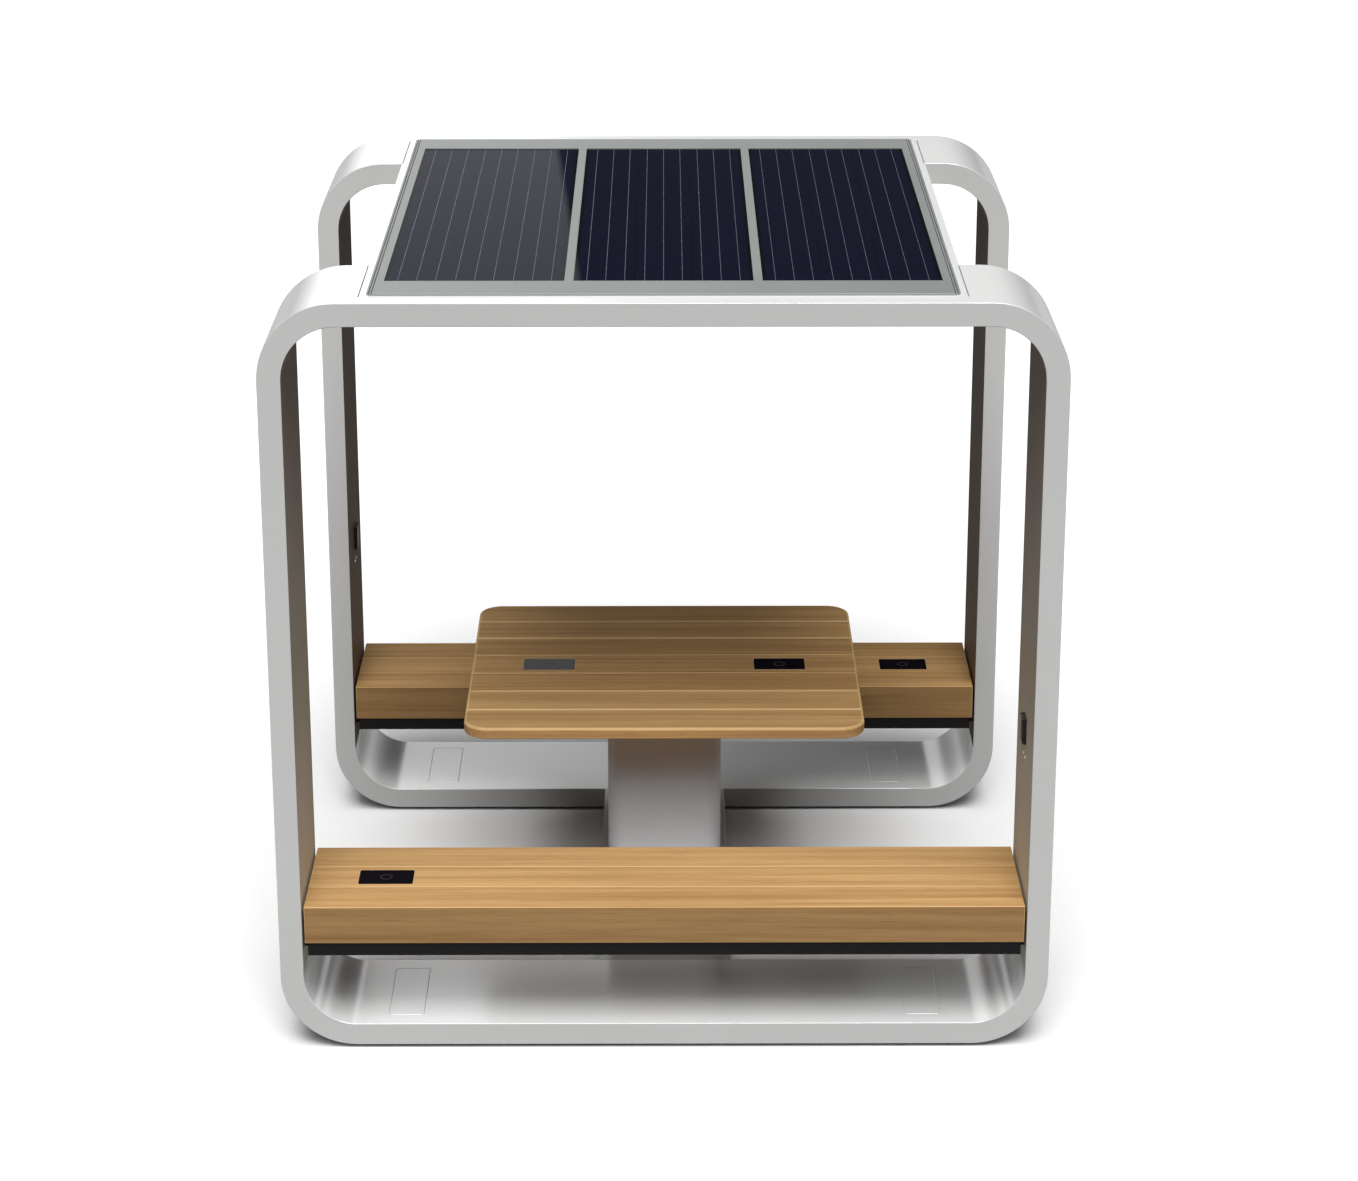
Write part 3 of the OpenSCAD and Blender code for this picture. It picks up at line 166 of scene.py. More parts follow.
@dataclass(frozen=True)
class Finish:
    """A made surface: a colour that drifts a little, a roughness that drifts with it, and a fine relief."""

    name: str
    colour: str
    drift: str
    roughness: float
    metallic: float = 0.0
    drift_mm: float = 300.0
    roughness_swing: float = 0.05
    grain_mm: float = 3.0
    grain_depth_mm: float = 0.02
    stretch: tuple[float, float, float] = (1.0, 1.0, 1.0)
    coat: float = 0.0
    coat_roughness: float = 0.1
    specular: float = 0.5
    # What is left of the mirror image on a surface that is looked along, where a coating takes most of it
    glare: float | None = None
    glow: float = 0.0
    # The colour that it turns to higher up, between two heights over the floor, which paints light or shade
    # by height
    high: str | None = None
    high_from_mm: float = 0.0
    high_to_mm: float = 1000.0

    def material(self) -> bpy.types.Material:
        """Builds the material once and hands out the same one after that.

        Returns:
            The material.
        """
        if self.name in bpy.data.materials:
            return bpy.data.materials[self.name]
        material, tree, shader = new_material(self.name)
        shader.inputs["Metallic"].default_value = self.metallic
        shader.inputs["Coat Weight"].default_value = self.coat
        shader.inputs["Coat Roughness"].default_value = self.coat_roughness
        shader.inputs["Specular IOR Level"].default_value = self.specular
        if self.glare is not None:
            calm_glare(tree, shader, self.specular, self.glare)
        if self.glow:
            shader.inputs["Emission Color"].default_value = linear(self.colour)
            shader.inputs["Emission Strength"].default_value = self.glow
        place = add_node(tree, "ShaderNodeTexCoord").outputs["Object"]
        stretched = add_node(tree, "ShaderNodeMapping", {"Scale": self.stretch},
                             {"Vector": place}).outputs[0]
        cloud = add_node(tree, "ShaderNodeTexNoise", {
            "Scale": 1 / (self.drift_mm * MM), "Detail": CLOUD_DETAIL,
        }, {"Vector": stretched}).outputs["Fac"]
        ramp = add_node(tree, "ShaderNodeValToRGB", links={"Fac": cloud})
        ramp.color_ramp.interpolation = "EASE"
        for stop, where, tone in zip(ramp.color_ramp.elements, NOISE_SPAN, (self.drift, self.colour)):
            stop.position = where
            stop.color = linear(tone)
        colour = ramp.outputs["Color"]
        if self.high:
            height = add_node(tree, "ShaderNodeSeparateXYZ", links={0: place}).outputs["Z"]
            share = add_node(tree, "ShaderNodeMapRange", {
                "From Min": self.high_from_mm * MM, "From Max": self.high_to_mm * MM,
            }, {"Value": height}).outputs[0]
            colour = add_node(tree, "ShaderNodeMix", {"data_type": "RGBA", 7: linear(self.high)},
                              {0: share, 6: colour}).outputs[2]
        tree.links.new(colour, shader.inputs["Base Color"])
        grain = add_node(tree, "ShaderNodeTexNoise", {
            "Scale": 1 / (self.grain_mm * MM), "Detail": GRAIN_DETAIL,
        }, {"Vector": stretched}).outputs["Fac"]
        rough = add_node(tree, "ShaderNodeMapRange", {
            "From Min": NOISE_SPAN[0], "From Max": NOISE_SPAN[1],
            "To Min": self.roughness - self.roughness_swing, "To Max": self.roughness + self.roughness_swing,
        }, {"Value": cloud})
        tree.links.new(rough.outputs[0], shader.inputs["Roughness"])
        bump = add_node(tree, "ShaderNodeBump", {"Distance": self.grain_depth_mm * MM}, {"Height": grain})
        tree.links.new(bump.outputs["Normal"], shader.inputs["Normal"])
        return material


class Metal(Enum):
    """The hoops' and the roof's metals."""

    # Rolled sheet, primed and sprayed with silver lacquer: a pale satin that blurs what it mirrors
    HOOP = Finish("silver_lacquered_aluminium", "#dcdcdb", "#d4d4d3", 0.24, metallic=0.12, drift_mm=700,
                  roughness_swing=0.03, grain_mm=14, grain_depth_mm=0.01, coat=0.3, coat_roughness=0.12)
    # The same lacquer on the hoops' outer skin and the roof tray's top, painted near-white at the top as
    # painted light from above
    TOP = replace(HOOP, name="lacquered_aluminium_painted_top_light",
                  high="#fafaf9", high_from_mm=2170, high_to_mm=2206)
    # On the bases' tops and the legs' lower inner sides the sheet is polished before it is lacquered, so it
    # mirrors more; its paler colour is painted light from above
    BASE = replace(HOOP, name="polished_lacquered_aluminium_painted_light", colour="#fafaf9", drift="#f4f4f3",
                   roughness=0.31, metallic=0.2, coat=0.8, specular=1.0)
    # Where the posts face each other, a bronze stain under a matt lacquer: brown, with painted shade that
    # darkens it higher up under the roof
    INNER = Finish("bronze_stain_with_painted_shade", "#ddd7c9", "#d0cabc", 0.34, drift_mm=500,
                   roughness_swing=0.04, grain_mm=14, grain_depth_mm=0.01, specular=0.2, glare=0.0008,
                   high="#7c726b", high_from_mm=450, high_to_mm=1900)
    # The back hoop's inner faces get a darker copy of the stain, as painted shade
    SHADED_INNER = replace(INNER, name="bronze_stain_painted_deeper_shade", colour="#8a7a68", drift="#807060",
                         high="#4e4742")
    # The column's sheet is brushed before it is lacquered, so it mirrors less; its top is painted brown as
    # painted shade and reflection under the table
    COLUMN = Finish("brushed_lacquered_aluminium_painted_shade", "#f2f1f3", "#eae9eb", 0.5, drift_mm=400,
                    roughness_swing=0.04, grain_mm=14, grain_depth_mm=0.01,
                    high="#d3c3b7", high_from_mm=440, high_to_mm=530)
    # White powder coat, baked: a slight orange peel
    ROOF = Finish("white_powder_coated_aluminium", "#ececea", "#e6e6e4", 0.42, drift_mm=500,
                  grain_mm=3, grain_depth_mm=0.03)
    # Glass-bead blasted and anodised: an even, soft grey without a grain
    FRAME = Finish("grey_anodised_aluminium", "#999d9b", "#929694", 0.45, metallic=0.35, drift_mm=200,
                   grain_mm=6, grain_depth_mm=0.01)
    # The floors of the frame's two grooves are painted dark, as painted shade in the recesses
    GROOVE = Finish("anodised_groove_painted_shade", "#4a4e4d", "#404443", 0.7, metallic=0.2, drift_mm=60,
                    grain_mm=6, grain_depth_mm=0.01, specular=0.1)
    # Extruded and left bare: faint die lines along the rail
    CHASSIS = Finish("mill_finish_aluminium", "#b4b5b5", "#a6a7a8", 0.38, metallic=1.0, drift_mm=120,
                     grain_mm=2, grain_depth_mm=0.02, stretch=(1.0, 0.05, 1.0))
    # Cold-headed and zinc plated: a bright grey with a cloudy sheen
    FASTENER = Finish("zinc_plated_steel", "#c2c5c8", "#a9adb2", 0.32, metallic=1.0, drift_mm=15,
                      roughness_swing=0.1, grain_mm=1, grain_depth_mm=0.02)
    # Black powder coat with a fine sand texture
    BLACK = Finish("black_powder_coated_steel", "#171517", "#111011", 0.6, drift_mm=150,
                   grain_mm=1.6, grain_depth_mm=0.06, specular=0.25)
    # Drawn copper, lacquered
    COPPER = Finish("lacquered_copper", "#b8703f", "#9c5a30", 0.3, metallic=1.0, drift_mm=20,
                    grain_mm=1.2, grain_depth_mm=0.1)


class Moulded(Enum):
    """Plastics, rubber and glass."""

    # Pressed rubber strip, dull and slightly dusty
    RUBBER = Finish("black_rubber", "#1d1c1b", "#262423", 0.85, drift_mm=40, grain_mm=2, grain_depth_mm=0.15)
    # Injection moulded with a fine spark-eroded texture
    ABS = Finish("black_abs", "#151516", "#1b1b1d", 0.42, drift_mm=30, grain_mm=0.8, grain_depth_mm=0.04)
    # Toughened glass, printed black underneath, with a coating against glare: deep and dark from any side
    PAD_GLASS = Finish("black_printed_glass", "#131116", "#17141a", 0.07, drift_mm=60, roughness_swing=0.02,
                       grain_mm=30, grain_depth_mm=0.01, glare=0.0)
    # The same glass on the pad that is used most: its coating is worn, so it mirrors the pale wall a little
    DULLED_GLASS = Finish("dulled_printed_glass", "#15161b", "#1a1b21", 0.12, drift_mm=60,
                          roughness_swing=0.03, grain_mm=30, grain_depth_mm=0.01, glare=0.035)
    # Pad-printed ink on the glass
    PRINT = Finish("grey_printed_ink", "#493a42", "#403239", 0.5, drift_mm=10, grain_mm=1,
                   grain_depth_mm=0.01, specular=0.1)
    # Moulded opal polycarbonate: pale and softly lit
    LENS = Finish("opal_polycarbonate", "#e9efec", "#dde6e2", 0.25, drift_mm=6, grain_mm=1,
                  grain_depth_mm=0.01, glow=0.25)
    # Blow-moulded battery case, matt
    BATTERY = Finish("dark_grey_polypropylene", "#2e3338", "#262b30", 0.6, drift_mm=40, grain_mm=1.2,
                     grain_depth_mm=0.06)
    # Die-cast case with a painted finish
    MODULE = Finish("blue_grey_painted_casting", "#5a6268", "#4d555b", 0.5, drift_mm=60, grain_mm=1.5,
                    grain_depth_mm=0.08)
    # Soft lead sheath
    SHEATH = Finish("black_pvc", "#171717", "#1e1e1e", 0.5, drift_mm=50, grain_mm=1.5, grain_depth_mm=0.03)


@dataclass(frozen=True)
class OiledTeak:
    """Planed teak, oiled: a warm brown with straight grain, fine pores and slow bands of tone."""

    name: str
    light: str
    mid: str
    dark: str
    pore: str
    # Width of a band of growth, of a streak and of a pore, and how much longer than wide each one is
    widths_mm: tuple[float, float, float] = (34.0, 7.0, 2.2)
    long: float = 40.0
    # How finely each of the three is broken up, and how ragged and how bent they all are
    details: tuple[float, float, float] = (2.0, 5.0, 2.0)
    raggedness: float = 0.6
    bend: float = 0.15
    # How far one board's figure lies from the next one's in the same log, in metres
    board_shift: tuple[float, float, float] = (17.0, 5.0, 5.0)
    # Weights of the streaks and of a board's own tone beside the bands, and the sum's span, dark to light
    streak_weight: float = 0.55
    board_weight: float = 0.22
    tone_span: tuple[float, float] = (0.6, 1.15)
    # Where the noise is high enough for a pore, and how dark a pore gets
    pore_span: tuple[float, float] = (0.58, 0.72)
    pore_strength: float = 0.45
    # Roughness from a dense streak to an open one
    streak_span: tuple[float, float] = (0.35, 0.65)
    roughness: tuple[float, float] = (0.4, 0.54)
    relief_mm: float = 0.12
    specular: float = 0.25
    glare: float = 0.02

    def material(self) -> bpy.types.Material:
        """Builds the material once and hands out the same one after that.

        Returns:
            The material.
        """
        if self.name in bpy.data.materials:
            return bpy.data.materials[self.name]
        material, tree, shader = new_material(self.name)
        place = add_node(tree, "ShaderNodeTexCoord").outputs["Object"]
        board = add_node(tree, "ShaderNodeAttribute", {"attribute_name": "board"}).outputs["Fac"]
        shift = add_node(tree, "ShaderNodeCombineXYZ", links={0: board, 1: board, 2: board}).outputs[0]
        moved = add_node(tree, "ShaderNodeVectorMath", {"operation": "MULTIPLY_ADD", 1: self.board_shift},
                         {0: shift, 2: place}).outputs[0]
        along = add_node(tree, "ShaderNodeMapping", {"Scale": (1 / self.long, 1.0, 1.0)},
                         {"Vector": moved}).outputs[0]
        band, streak, pore = (
            add_node(tree, "ShaderNodeTexNoise", {
                "Scale": 1 / (width * MM), "Detail": detail, "Roughness": self.raggedness,
                "Distortion": self.bend,
            }, {"Vector": along}).outputs["Fac"]
            for width, detail in zip(self.widths_mm, self.details)
        )
        layers = add_node(tree, "ShaderNodeMath", {"operation": "MULTIPLY_ADD", 1: self.streak_weight},
                          {0: streak, 2: band}).outputs[0]
        toned = add_node(tree, "ShaderNodeMath", {"operation": "MULTIPLY_ADD", 1: self.board_weight},
                         {0: board, 2: layers}).outputs[0]
        tone = add_node(tree, "ShaderNodeMapRange", {
            "From Min": self.tone_span[0], "From Max": self.tone_span[1],
        }, {"Value": toned}).outputs[0]
        ramp = add_node(tree, "ShaderNodeValToRGB", links={"Fac": tone})
        ramp.color_ramp.elements[0].color = linear(self.dark)
        ramp.color_ramp.elements[1].color = linear(self.light)
        middle = ramp.color_ramp.elements.new(0.5)
        middle.color = linear(self.mid)
        pores = add_node(tree, "ShaderNodeMapRange", {
            "From Min": self.pore_span[0], "From Max": self.pore_span[1], "To Max": self.pore_strength,
        }, {"Value": pore}).outputs[0]
        colour = add_node(tree, "ShaderNodeMix", {"data_type": "RGBA", 7: linear(self.pore)},
                          {0: pores, 6: ramp.outputs["Color"]})
        tree.links.new(colour.outputs[2], shader.inputs["Base Color"])
        rough = add_node(tree, "ShaderNodeMapRange", {
            "From Min": self.streak_span[0], "From Max": self.streak_span[1],
            "To Min": self.roughness[0], "To Max": self.roughness[1],
        }, {"Value": streak})
        tree.links.new(rough.outputs[0], shader.inputs["Roughness"])
        relief = add_node(tree, "ShaderNodeMath", {"operation": "SUBTRACT"},
                          {0: streak, 1: pores}).outputs[0]
        bump = add_node(tree, "ShaderNodeBump", {"Distance": self.relief_mm * MM}, {"Height": relief})
        tree.links.new(bump.outputs["Normal"], shader.inputs["Normal"])
        calm_glare(tree, shader, self.specular, self.glare)
        return material


class Wood(Enum):
    """The boards' finishes."""

    # Heartwood, sanded and oiled twice: golden brown with fine dark pores
    BOARD = OiledTeak("oiled_teak", "#cea671", "#be9664", "#a88152", "#81603d")
    # The aprons and end boards are painted darker than the seat boards, as painted shade on their upright
    # faces
    APRON = OiledTeak("oiled_teak_apron_painted_shade", "#b5915e", "#a88356", "#947043", "#715231")
    # The boards' eased edges are painted paler, as a painted highlight along each edge
    EDGE = OiledTeak("teak_edge_painted_highlight", "#e6c590", "#dcb880", "#cda76e", "#a98452")


@dataclass(frozen=True)
class SolarGlass:
    """What lies under a solar panel's coated glass: silicon, ribbons or the dark backing."""

    name: str
    colour: str
    drift: str
    metallic: float = 0.0
    roughness: float = 0.01
    specular: float = 0.4
    glare: float = 0.0055
    # Silicon crystals, each with its own faint tone
    crystal_mm: float = 12.0

    def material(self) -> bpy.types.Material:
        """Builds the material once and hands out the same one after that.

        Returns:
            The material.
        """
        if self.name in bpy.data.materials:
            return bpy.data.materials[self.name]
        material, tree, shader = new_material(self.name)
        place = add_node(tree, "ShaderNodeTexCoord").outputs["Object"]
        crystals = add_node(tree, "ShaderNodeTexVoronoi", {"Scale": 1 / (self.crystal_mm * MM)},
                            {"Vector": place})
        tone = add_node(tree, "ShaderNodeSeparateColor", links={0: crystals.outputs["Color"]}).outputs[0]
        colour = add_node(tree, "ShaderNodeMix", {
            "data_type": "RGBA", 6: linear(self.colour), 7: linear(self.drift),
        }, {0: tone})
        tree.links.new(colour.outputs[2], shader.inputs["Base Color"])
        shader.inputs["Metallic"].default_value = self.metallic
        shader.inputs["Roughness"].default_value = self.roughness
        calm_glare(tree, shader, self.specular, self.glare)
        return material


class Solar(Enum):
    """The solar panels' materials, in the order of their numbers on the panels' faces."""

    CELL = SolarGlass("silicon_under_glass", "#0d1020", "#101325")
    GAP = SolarGlass("backing_under_glass", "#0a0a10", "#0c0c12")
    RIBBON = SolarGlass("tinned_ribbon_under_glass", "#666a74", "#5c616b", 0.3, 0.3)
    # Where a ribbon crosses from one cell to the next it is painted brighter, as a painted glint
    GLINT_RIBBON = SolarGlass("ribbon_painted_glint_under_glass", "#c9cdd4", "#bfc4cc", 0.3, 0.3)


@dataclass(frozen=True)
class Bevel:
    """How far a piece's edges are rounded, in millimetres."""

    soft: float
    rest: float = 0.0
    segments: int = 2
    # Axes whose outermost planes hold the edges that get the soft radius
    planes: str = "xyz"
    # Planes across X, this far from the middle, where the piece meets the next one flush and stays sharp
    flush_x: tuple[float, ...] = ()

    def share(self, a: Vector, b: Vector, lo: Vector, hi: Vector) -> float:
        """Works out how much of the soft radius an edge gets.

        Args:
            a: One end of the edge.
            b: Its other end.
            lo: The piece's lowest corner.
            hi: The piece's highest corner.

        Returns:
            1 for an edge on an outermost plane, and the other edges' share for the rest.
        """
        if abs(a.x - b.x) < TINY and any(abs(abs(a.x) - x) < TINY for x in self.flush_x):
            return 0.0
        for k in ("xyz".index(axis) for axis in self.planes):
            if any(abs(a[k] - end) < TINY and abs(b[k] - end) < TINY for end in (lo[k], hi[k])):
                return 1.0
        return self.rest / self.soft


@dataclass(frozen=True)
class BoardBevel(Bevel):
    """A bevel that gives the soft radius to the table's level edges, apart from recesses in its middle."""

    # The pads' recesses and the middle board's screw holes lie nearer to the table's middle than this
    recess_x: float = 550 * MM
    recess_y: float = 75 * MM

    def share(self, a: Vector, b: Vector, lo: Vector, hi: Vector) -> float:
        """Works out how much of the soft radius an edge gets.

        Args:
            a: One end of the edge.
            b: Its other end.
            lo: The piece's lowest corner.
            hi: The piece's highest corner.

        Returns:
            1 for a level edge outside the recesses, and the other edges' share for the rest.
        """
        upright = abs(a.z - b.z) > TINY
        if upright or any(abs(p.x) < self.recess_x and abs(p.y) < self.recess_y for p in (a, b)):
            return self.rest / self.soft
        return 1.0


def body_of(node: str) -> str:
    """Returns the name of the body that a CAD node rides on."""
    return frame["nodes"][node]["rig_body"]


def settle(piece: bpy.types.Object, body: str) -> None:
    """Lets a new piece ride on a body.

    Args:
        piece: The piece, in place.
        body: The body that it rides on.
    """
    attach(piece, body)
    log.info("made %s on %s", piece.name, body)


def link_mesh(name: str, mesh: bpy.types.Mesh) -> bpy.types.Object:
    """Returns a new object in the scene that shows the mesh."""
    piece = bpy.data.objects.new(name, mesh)
    bpy.context.scene.collection.objects.link(piece)
    return piece


def number_boards(bm: bmesh.types.BMesh, start: int) -> None:
    """Gives each separate solid in a mesh its own number, which its grain and tone follow.

    Args:
        bm: The mesh.
        start: A number that sets this piece apart from the others.
    """
    layer = bm.faces.layers.float.new("board")
    draw = random.Random(start)
    seen: set[bmesh.types.BMFace] = set()
    for first in bm.faces:
        if first in seen:
            continue
        tone = draw.random()
        todo = [first]
        seen.add(first)
        while todo:
            face = todo.pop()
            face[layer] = tone
            for edge in face.edges:
                for other in edge.link_faces:
                    if other not in seen:
                        seen.add(other)
                        todo.append(other)


def weigh_edges(bm: bmesh.types.BMesh, bevel: Bevel) -> None:
    """Marks how much of the bevel each sharp edge gets.

    Args:
        bm: The mesh.
        bevel: The radii and planes.
    """
    layer = bm.edges.layers.float.new("bevel_weight_edge")
    lo = Vector([min(v.co[k] for v in bm.verts) for k in range(3)])
    hi = Vector([max(v.co[k] for v in bm.verts) for k in range(3)])
    for edge in bm.edges:
        if len(edge.link_faces) == 2 and edge.calc_face_angle(0.0) > SHARP:
            edge[layer] = bevel.share(edge.verts[0].co, edge.verts[1].co, lo, hi)


def dressed(node: str, bevel: Bevel, finish: Enum, paint: Callable[[bmesh.types.BMFace], int] | None = None,
            others: Iterable[Enum] = (), edge_finish: Enum | None = None) -> bpy.types.Object:
    """Makes a piece from a CAD node: the same shape with clean faces and rounded edges, in its own finish.

    Args:
        node: The CAD node that the piece stands for.
        bevel: How far its edges are rounded.
        finish: Its finish.
        paint: Says which finish a face gets, by number, where there are others.
        others: Its other finishes.
        edge_finish: The finish of its rounded edges, where they have their own.

    Returns:
        The piece.
    """
    bm = bmesh.new()
    bm.from_mesh(frame["nodes"][node].data)
    bmesh.ops.remove_doubles(bm, verts=bm.verts, dist=WELD)
    bmesh.ops.dissolve_limit(bm, angle_limit=FLAT, verts=bm.verts, edges=bm.edges)
    weigh_edges(bm, bevel)
    number_boards(bm, sum(map(ord, node)))
    for face in bm.faces:
        face.smooth = True
        face.material_index = paint(face) if paint else 0
    for edge in bm.edges:
        edge.smooth = edge.calc_face_angle(0.0) < SHARP
    mesh = bpy.data.meshes.new(node + "_dressed")
    bm.to_mesh(mesh)
    bm.free()
    finishes = [finish, *others] + ([edge_finish] if edge_finish else [])
    for item in finishes:
        mesh.materials.append(item.value.material())
    piece = link_mesh(node + "_dressed", mesh)
    round_edges = piece.modifiers.new("round_edges", "BEVEL")
    round_edges.width = bevel.soft * MM
    round_edges.segments = bevel.segments
    round_edges.limit_method = "WEIGHT"
    round_edges.use_clamp_overlap = False
    round_edges.material = len(finishes) - 1 if edge_finish else -1
    # Faces with more than four corners are cut up, because their shading would show streaks
    whole = piece.modifiers.new("whole_faces", "TRIANGULATE")
    whole.min_vertices = 5
    even = piece.modifiers.new("even_normals", "WEIGHTED_NORMAL")
    even.keep_sharp = True
    settle(piece, body_of(node))
    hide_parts(node)
    return piece


def tops_of_solids(node: str) -> list[Vector]:
    """Finds the middle of the top of each solid in a node.

    Args:
        node: The CAD node.

    Returns:
        The middles, from left to right.
    """
    bm = bmesh.new()
    bm.from_mesh(frame["nodes"][node].data)
    bmesh.ops.remove_doubles(bm, verts=bm.verts, dist=WELD)
    solids: list[set[bmesh.types.BMVert]] = []
    left = set(bm.verts)
    while left:
        solid = set()
        todo = [left.pop()]
        while todo:
            vert = todo.pop()
            solid.add(vert)
            todo += [other for edge in vert.link_edges if (other := edge.other_vert(vert)) in left]
            left.difference_update(todo)
        solids.append(solid)
    tops = []
    for solid in solids:
        lo = Vector([min(v.co[k] for v in solid) for k in range(3)])
        hi = Vector([max(v.co[k] for v in solid) for k in range(3)])
        tops.append(Vector(((lo.x + hi.x) / 2, (lo.y + hi.y) / 2, hi.z)))
    bm.free()
    return sorted(tops, key=lambda top: top.x)


def painted(node: str, finish: Enum) -> None:
    """Gives a CAD node that stays as it is its finish.

    Args:
        node: The CAD node.
        finish: Its finish.
    """
    mesh = frame["nodes"][node].data
    mesh.materials.clear()
    mesh.materials.append(finish.value.material())
    log.info("finished %s in %s", node, finish.value.name)


@dataclass
class Studio:
    """A pale floor under a soft light from above, and the photograph's camera."""

    floor_radius: float = 70.0
    floor_corners: int = 96
    floor_drop: float = 0.5 * MM
    floor_colour: str = "#fafafa"
    # What the floor throws back at the object, and what the object's shine shows of it
    floor_bounce: str = "#7c7c7c"
    floor_shine: str = "#acacac"
    floor_roughness: float = 0.9
    floor_specular: float = 0.1
    camera_place: Vector = Vector((0.0044, -10.124, 4.5255))
    camera_pitch: float = math.radians(19.13)
    camera_yaw: float = math.radians(0.235)
    photo_width: int = 1358
    focal_pixels: float = 3466.0
    sensor_mm: float = 36.0
    view_reach: float = 300.0
    key_elevation: float = math.radians(71)
    key_width: float = math.radians(46)
    key_strength: float = 2.95
    fill_elevation: float = math.radians(47)
    fill_width: float = math.radians(30)
    fill_strength: float = 1.3
    # Brightness of the walls where they only light the object
    dim_wall: float = 0.08
    # Where the object's shine shows them: the one behind it, the one in front, and the dark part's share
    pale_wall: float = 1.15
    front_wall: float = 0.16
    dark_share: float = 0.09
    # The wall fades upwards between these sines of the height over the horizon, to this share
    wall_top: tuple[float, float] = (0.6, 0.85)
    ceiling_share: float = 0.3
    # It turns from the front's brightness to the back's between these Y of a direction
    wall_turn: tuple[float, float] = (0.3, 0.75)
    # Where the pale wall ends, as X over Y: level with the floor, how that grows with Z over Y, and its blur
    wall_end: float = -0.0634
    wall_lean: float = 0.1523
    end_blur: float = 0.001
    # It is dark again on the left between these X over Y, and pale again further round on both sides
    left_end: tuple[float, float] = (-0.32, -0.2)
    far_sides: tuple[float, float] = (0.36, 0.5)

    def camera(self) -> None:
        """Places the camera where the photograph was taken."""
        lens = bpy.data.cameras.new("photo_camera")
        lens.sensor_width = self.sensor_mm
        lens.lens = self.focal_pixels / self.photo_width * self.sensor_mm
        lens.clip_end = self.view_reach
        camera = bpy.data.objects.new("photo_camera", lens)
        camera.location = self.camera_place
        camera.rotation_euler = Euler((math.pi / 2 - self.camera_pitch, 0.0, -self.camera_yaw))
        bpy.context.scene.collection.objects.link(camera)
        bpy.context.scene.camera = camera

    def floor(self) -> None:
        """Lays a plain white floor out to the horizon, which throws back less light than it shows."""
        material, tree, shader = new_material("matt_white_floor")
        path = add_node(tree, "ShaderNodeLightPath")
        mirrored = add_node(tree, "ShaderNodeMix", {
            "data_type": "RGBA", 6: linear(self.floor_colour), 7: linear(self.floor_shine),
        }, {0: path.outputs["Is Glossy Ray"]})
        tone = add_node(tree, "ShaderNodeMix", {"data_type": "RGBA", 7: linear(self.floor_bounce)},
                        {0: path.outputs["Is Diffuse Ray"], 6: mirrored.outputs[2]})
        tree.links.new(tone.outputs[2], shader.inputs["Base Color"])
        shader.inputs["Roughness"].default_value = self.floor_roughness
        shader.inputs["Specular IOR Level"].default_value = self.floor_specular
        bm = bmesh.new()
        bmesh.ops.create_circle(bm, cap_ends=True, segments=self.floor_corners, radius=self.floor_radius)
        mesh = bpy.data.meshes.new("floor")
        bm.to_mesh(mesh)
        bm.free()
        mesh.materials.append(material)
        floor = link_mesh("floor", mesh)
        floor.location.z = -self.floor_drop

    def sun(self, name: str, elevation: float, width: float, strength: float) -> None:
        """Hangs one wide light in front of the object.

        Args:
            name: The light's name.
            elevation: Its height over the horizon, in radians.
            width: How wide it looks, in radians.
            strength: Its strength.
        """
        light = bpy.data.lights.new(name, "SUN")
        light.energy = strength
        light.angle = width
        lamp = bpy.data.objects.new(name, light)
        way = Vector((0.0, math.cos(elevation), -math.sin(elevation)))
        lamp.rotation_euler = way.to_track_quat("-Z", "Y").to_euler()
        bpy.context.scene.collection.objects.link(lamp)

    def walls(self) -> None:
        """Puts walls round the object, which its shine shows: pale behind it and grey in front."""
        world = bpy.data.worlds.new("studio_walls")
        world.use_nodes = True
        tree = world.node_tree
        way = add_node(tree, "ShaderNodeTexCoord").outputs["Generated"]
        axes = add_node(tree, "ShaderNodeSeparateXYZ", links={0: way})
        top = add_node(tree, "ShaderNodeMapRange", {
            "interpolation_type": "SMOOTHSTEP", "From Min": self.wall_top[0], "From Max": self.wall_top[1],
            "To Min": 1.0, "To Max": self.ceiling_share,
        }, {"Value": axes.outputs["Z"]}).outputs[0]
        turn = add_node(tree, "ShaderNodeMapRange", {
            "interpolation_type": "SMOOTHSTEP", "From Min": self.wall_turn[0], "From Max": self.wall_turn[1],
            "To Min": self.front_wall, "To Max": self.pale_wall,
        }, {"Value": axes.outputs["Y"]}).outputs[0]
        right = add_node(tree, "ShaderNodeMath", {"operation": "DIVIDE"},
                         {0: axes.outputs["X"], 1: axes.outputs["Y"]}).outputs[0]
        up = add_node(tree, "ShaderNodeMath", {"operation": "DIVIDE"},
                      {0: axes.outputs["Z"], 1: axes.outputs["Y"]}).outputs[0]
        end = add_node(tree, "ShaderNodeMath", {
            "operation": "MULTIPLY_ADD", 1: self.wall_lean, 2: self.wall_end,
        }, {0: up}).outputs[0]
        past_end = add_node(tree, "ShaderNodeMath", {"operation": "SUBTRACT"}, {0: right, 1: end}).outputs[0]
        far_left = add_node(tree, "ShaderNodeMapRange", {
            "interpolation_type": "SMOOTHSTEP", "From Min": self.left_end[0], "From Max": self.left_end[1],
            "To Min": self.dark_share,
        }, {"Value": right}).outputs[0]
        left_part = add_node(tree, "ShaderNodeMapRange", {
            "From Min": -self.end_blur, "From Max": self.end_blur, "To Max": self.dark_share,
        }, {"Value": past_end, "To Min": far_left}).outputs[0]
        aside = add_node(tree, "ShaderNodeMath", {"operation": "ABSOLUTE"}, {0: right}).outputs[0]
        far_part = add_node(tree, "ShaderNodeMapRange", {
            "interpolation_type": "SMOOTHSTEP", "From Min": self.far_sides[0], "From Max": self.far_sides[1],
            "To Min": self.dark_share,
        }, {"Value": aside}).outputs[0]
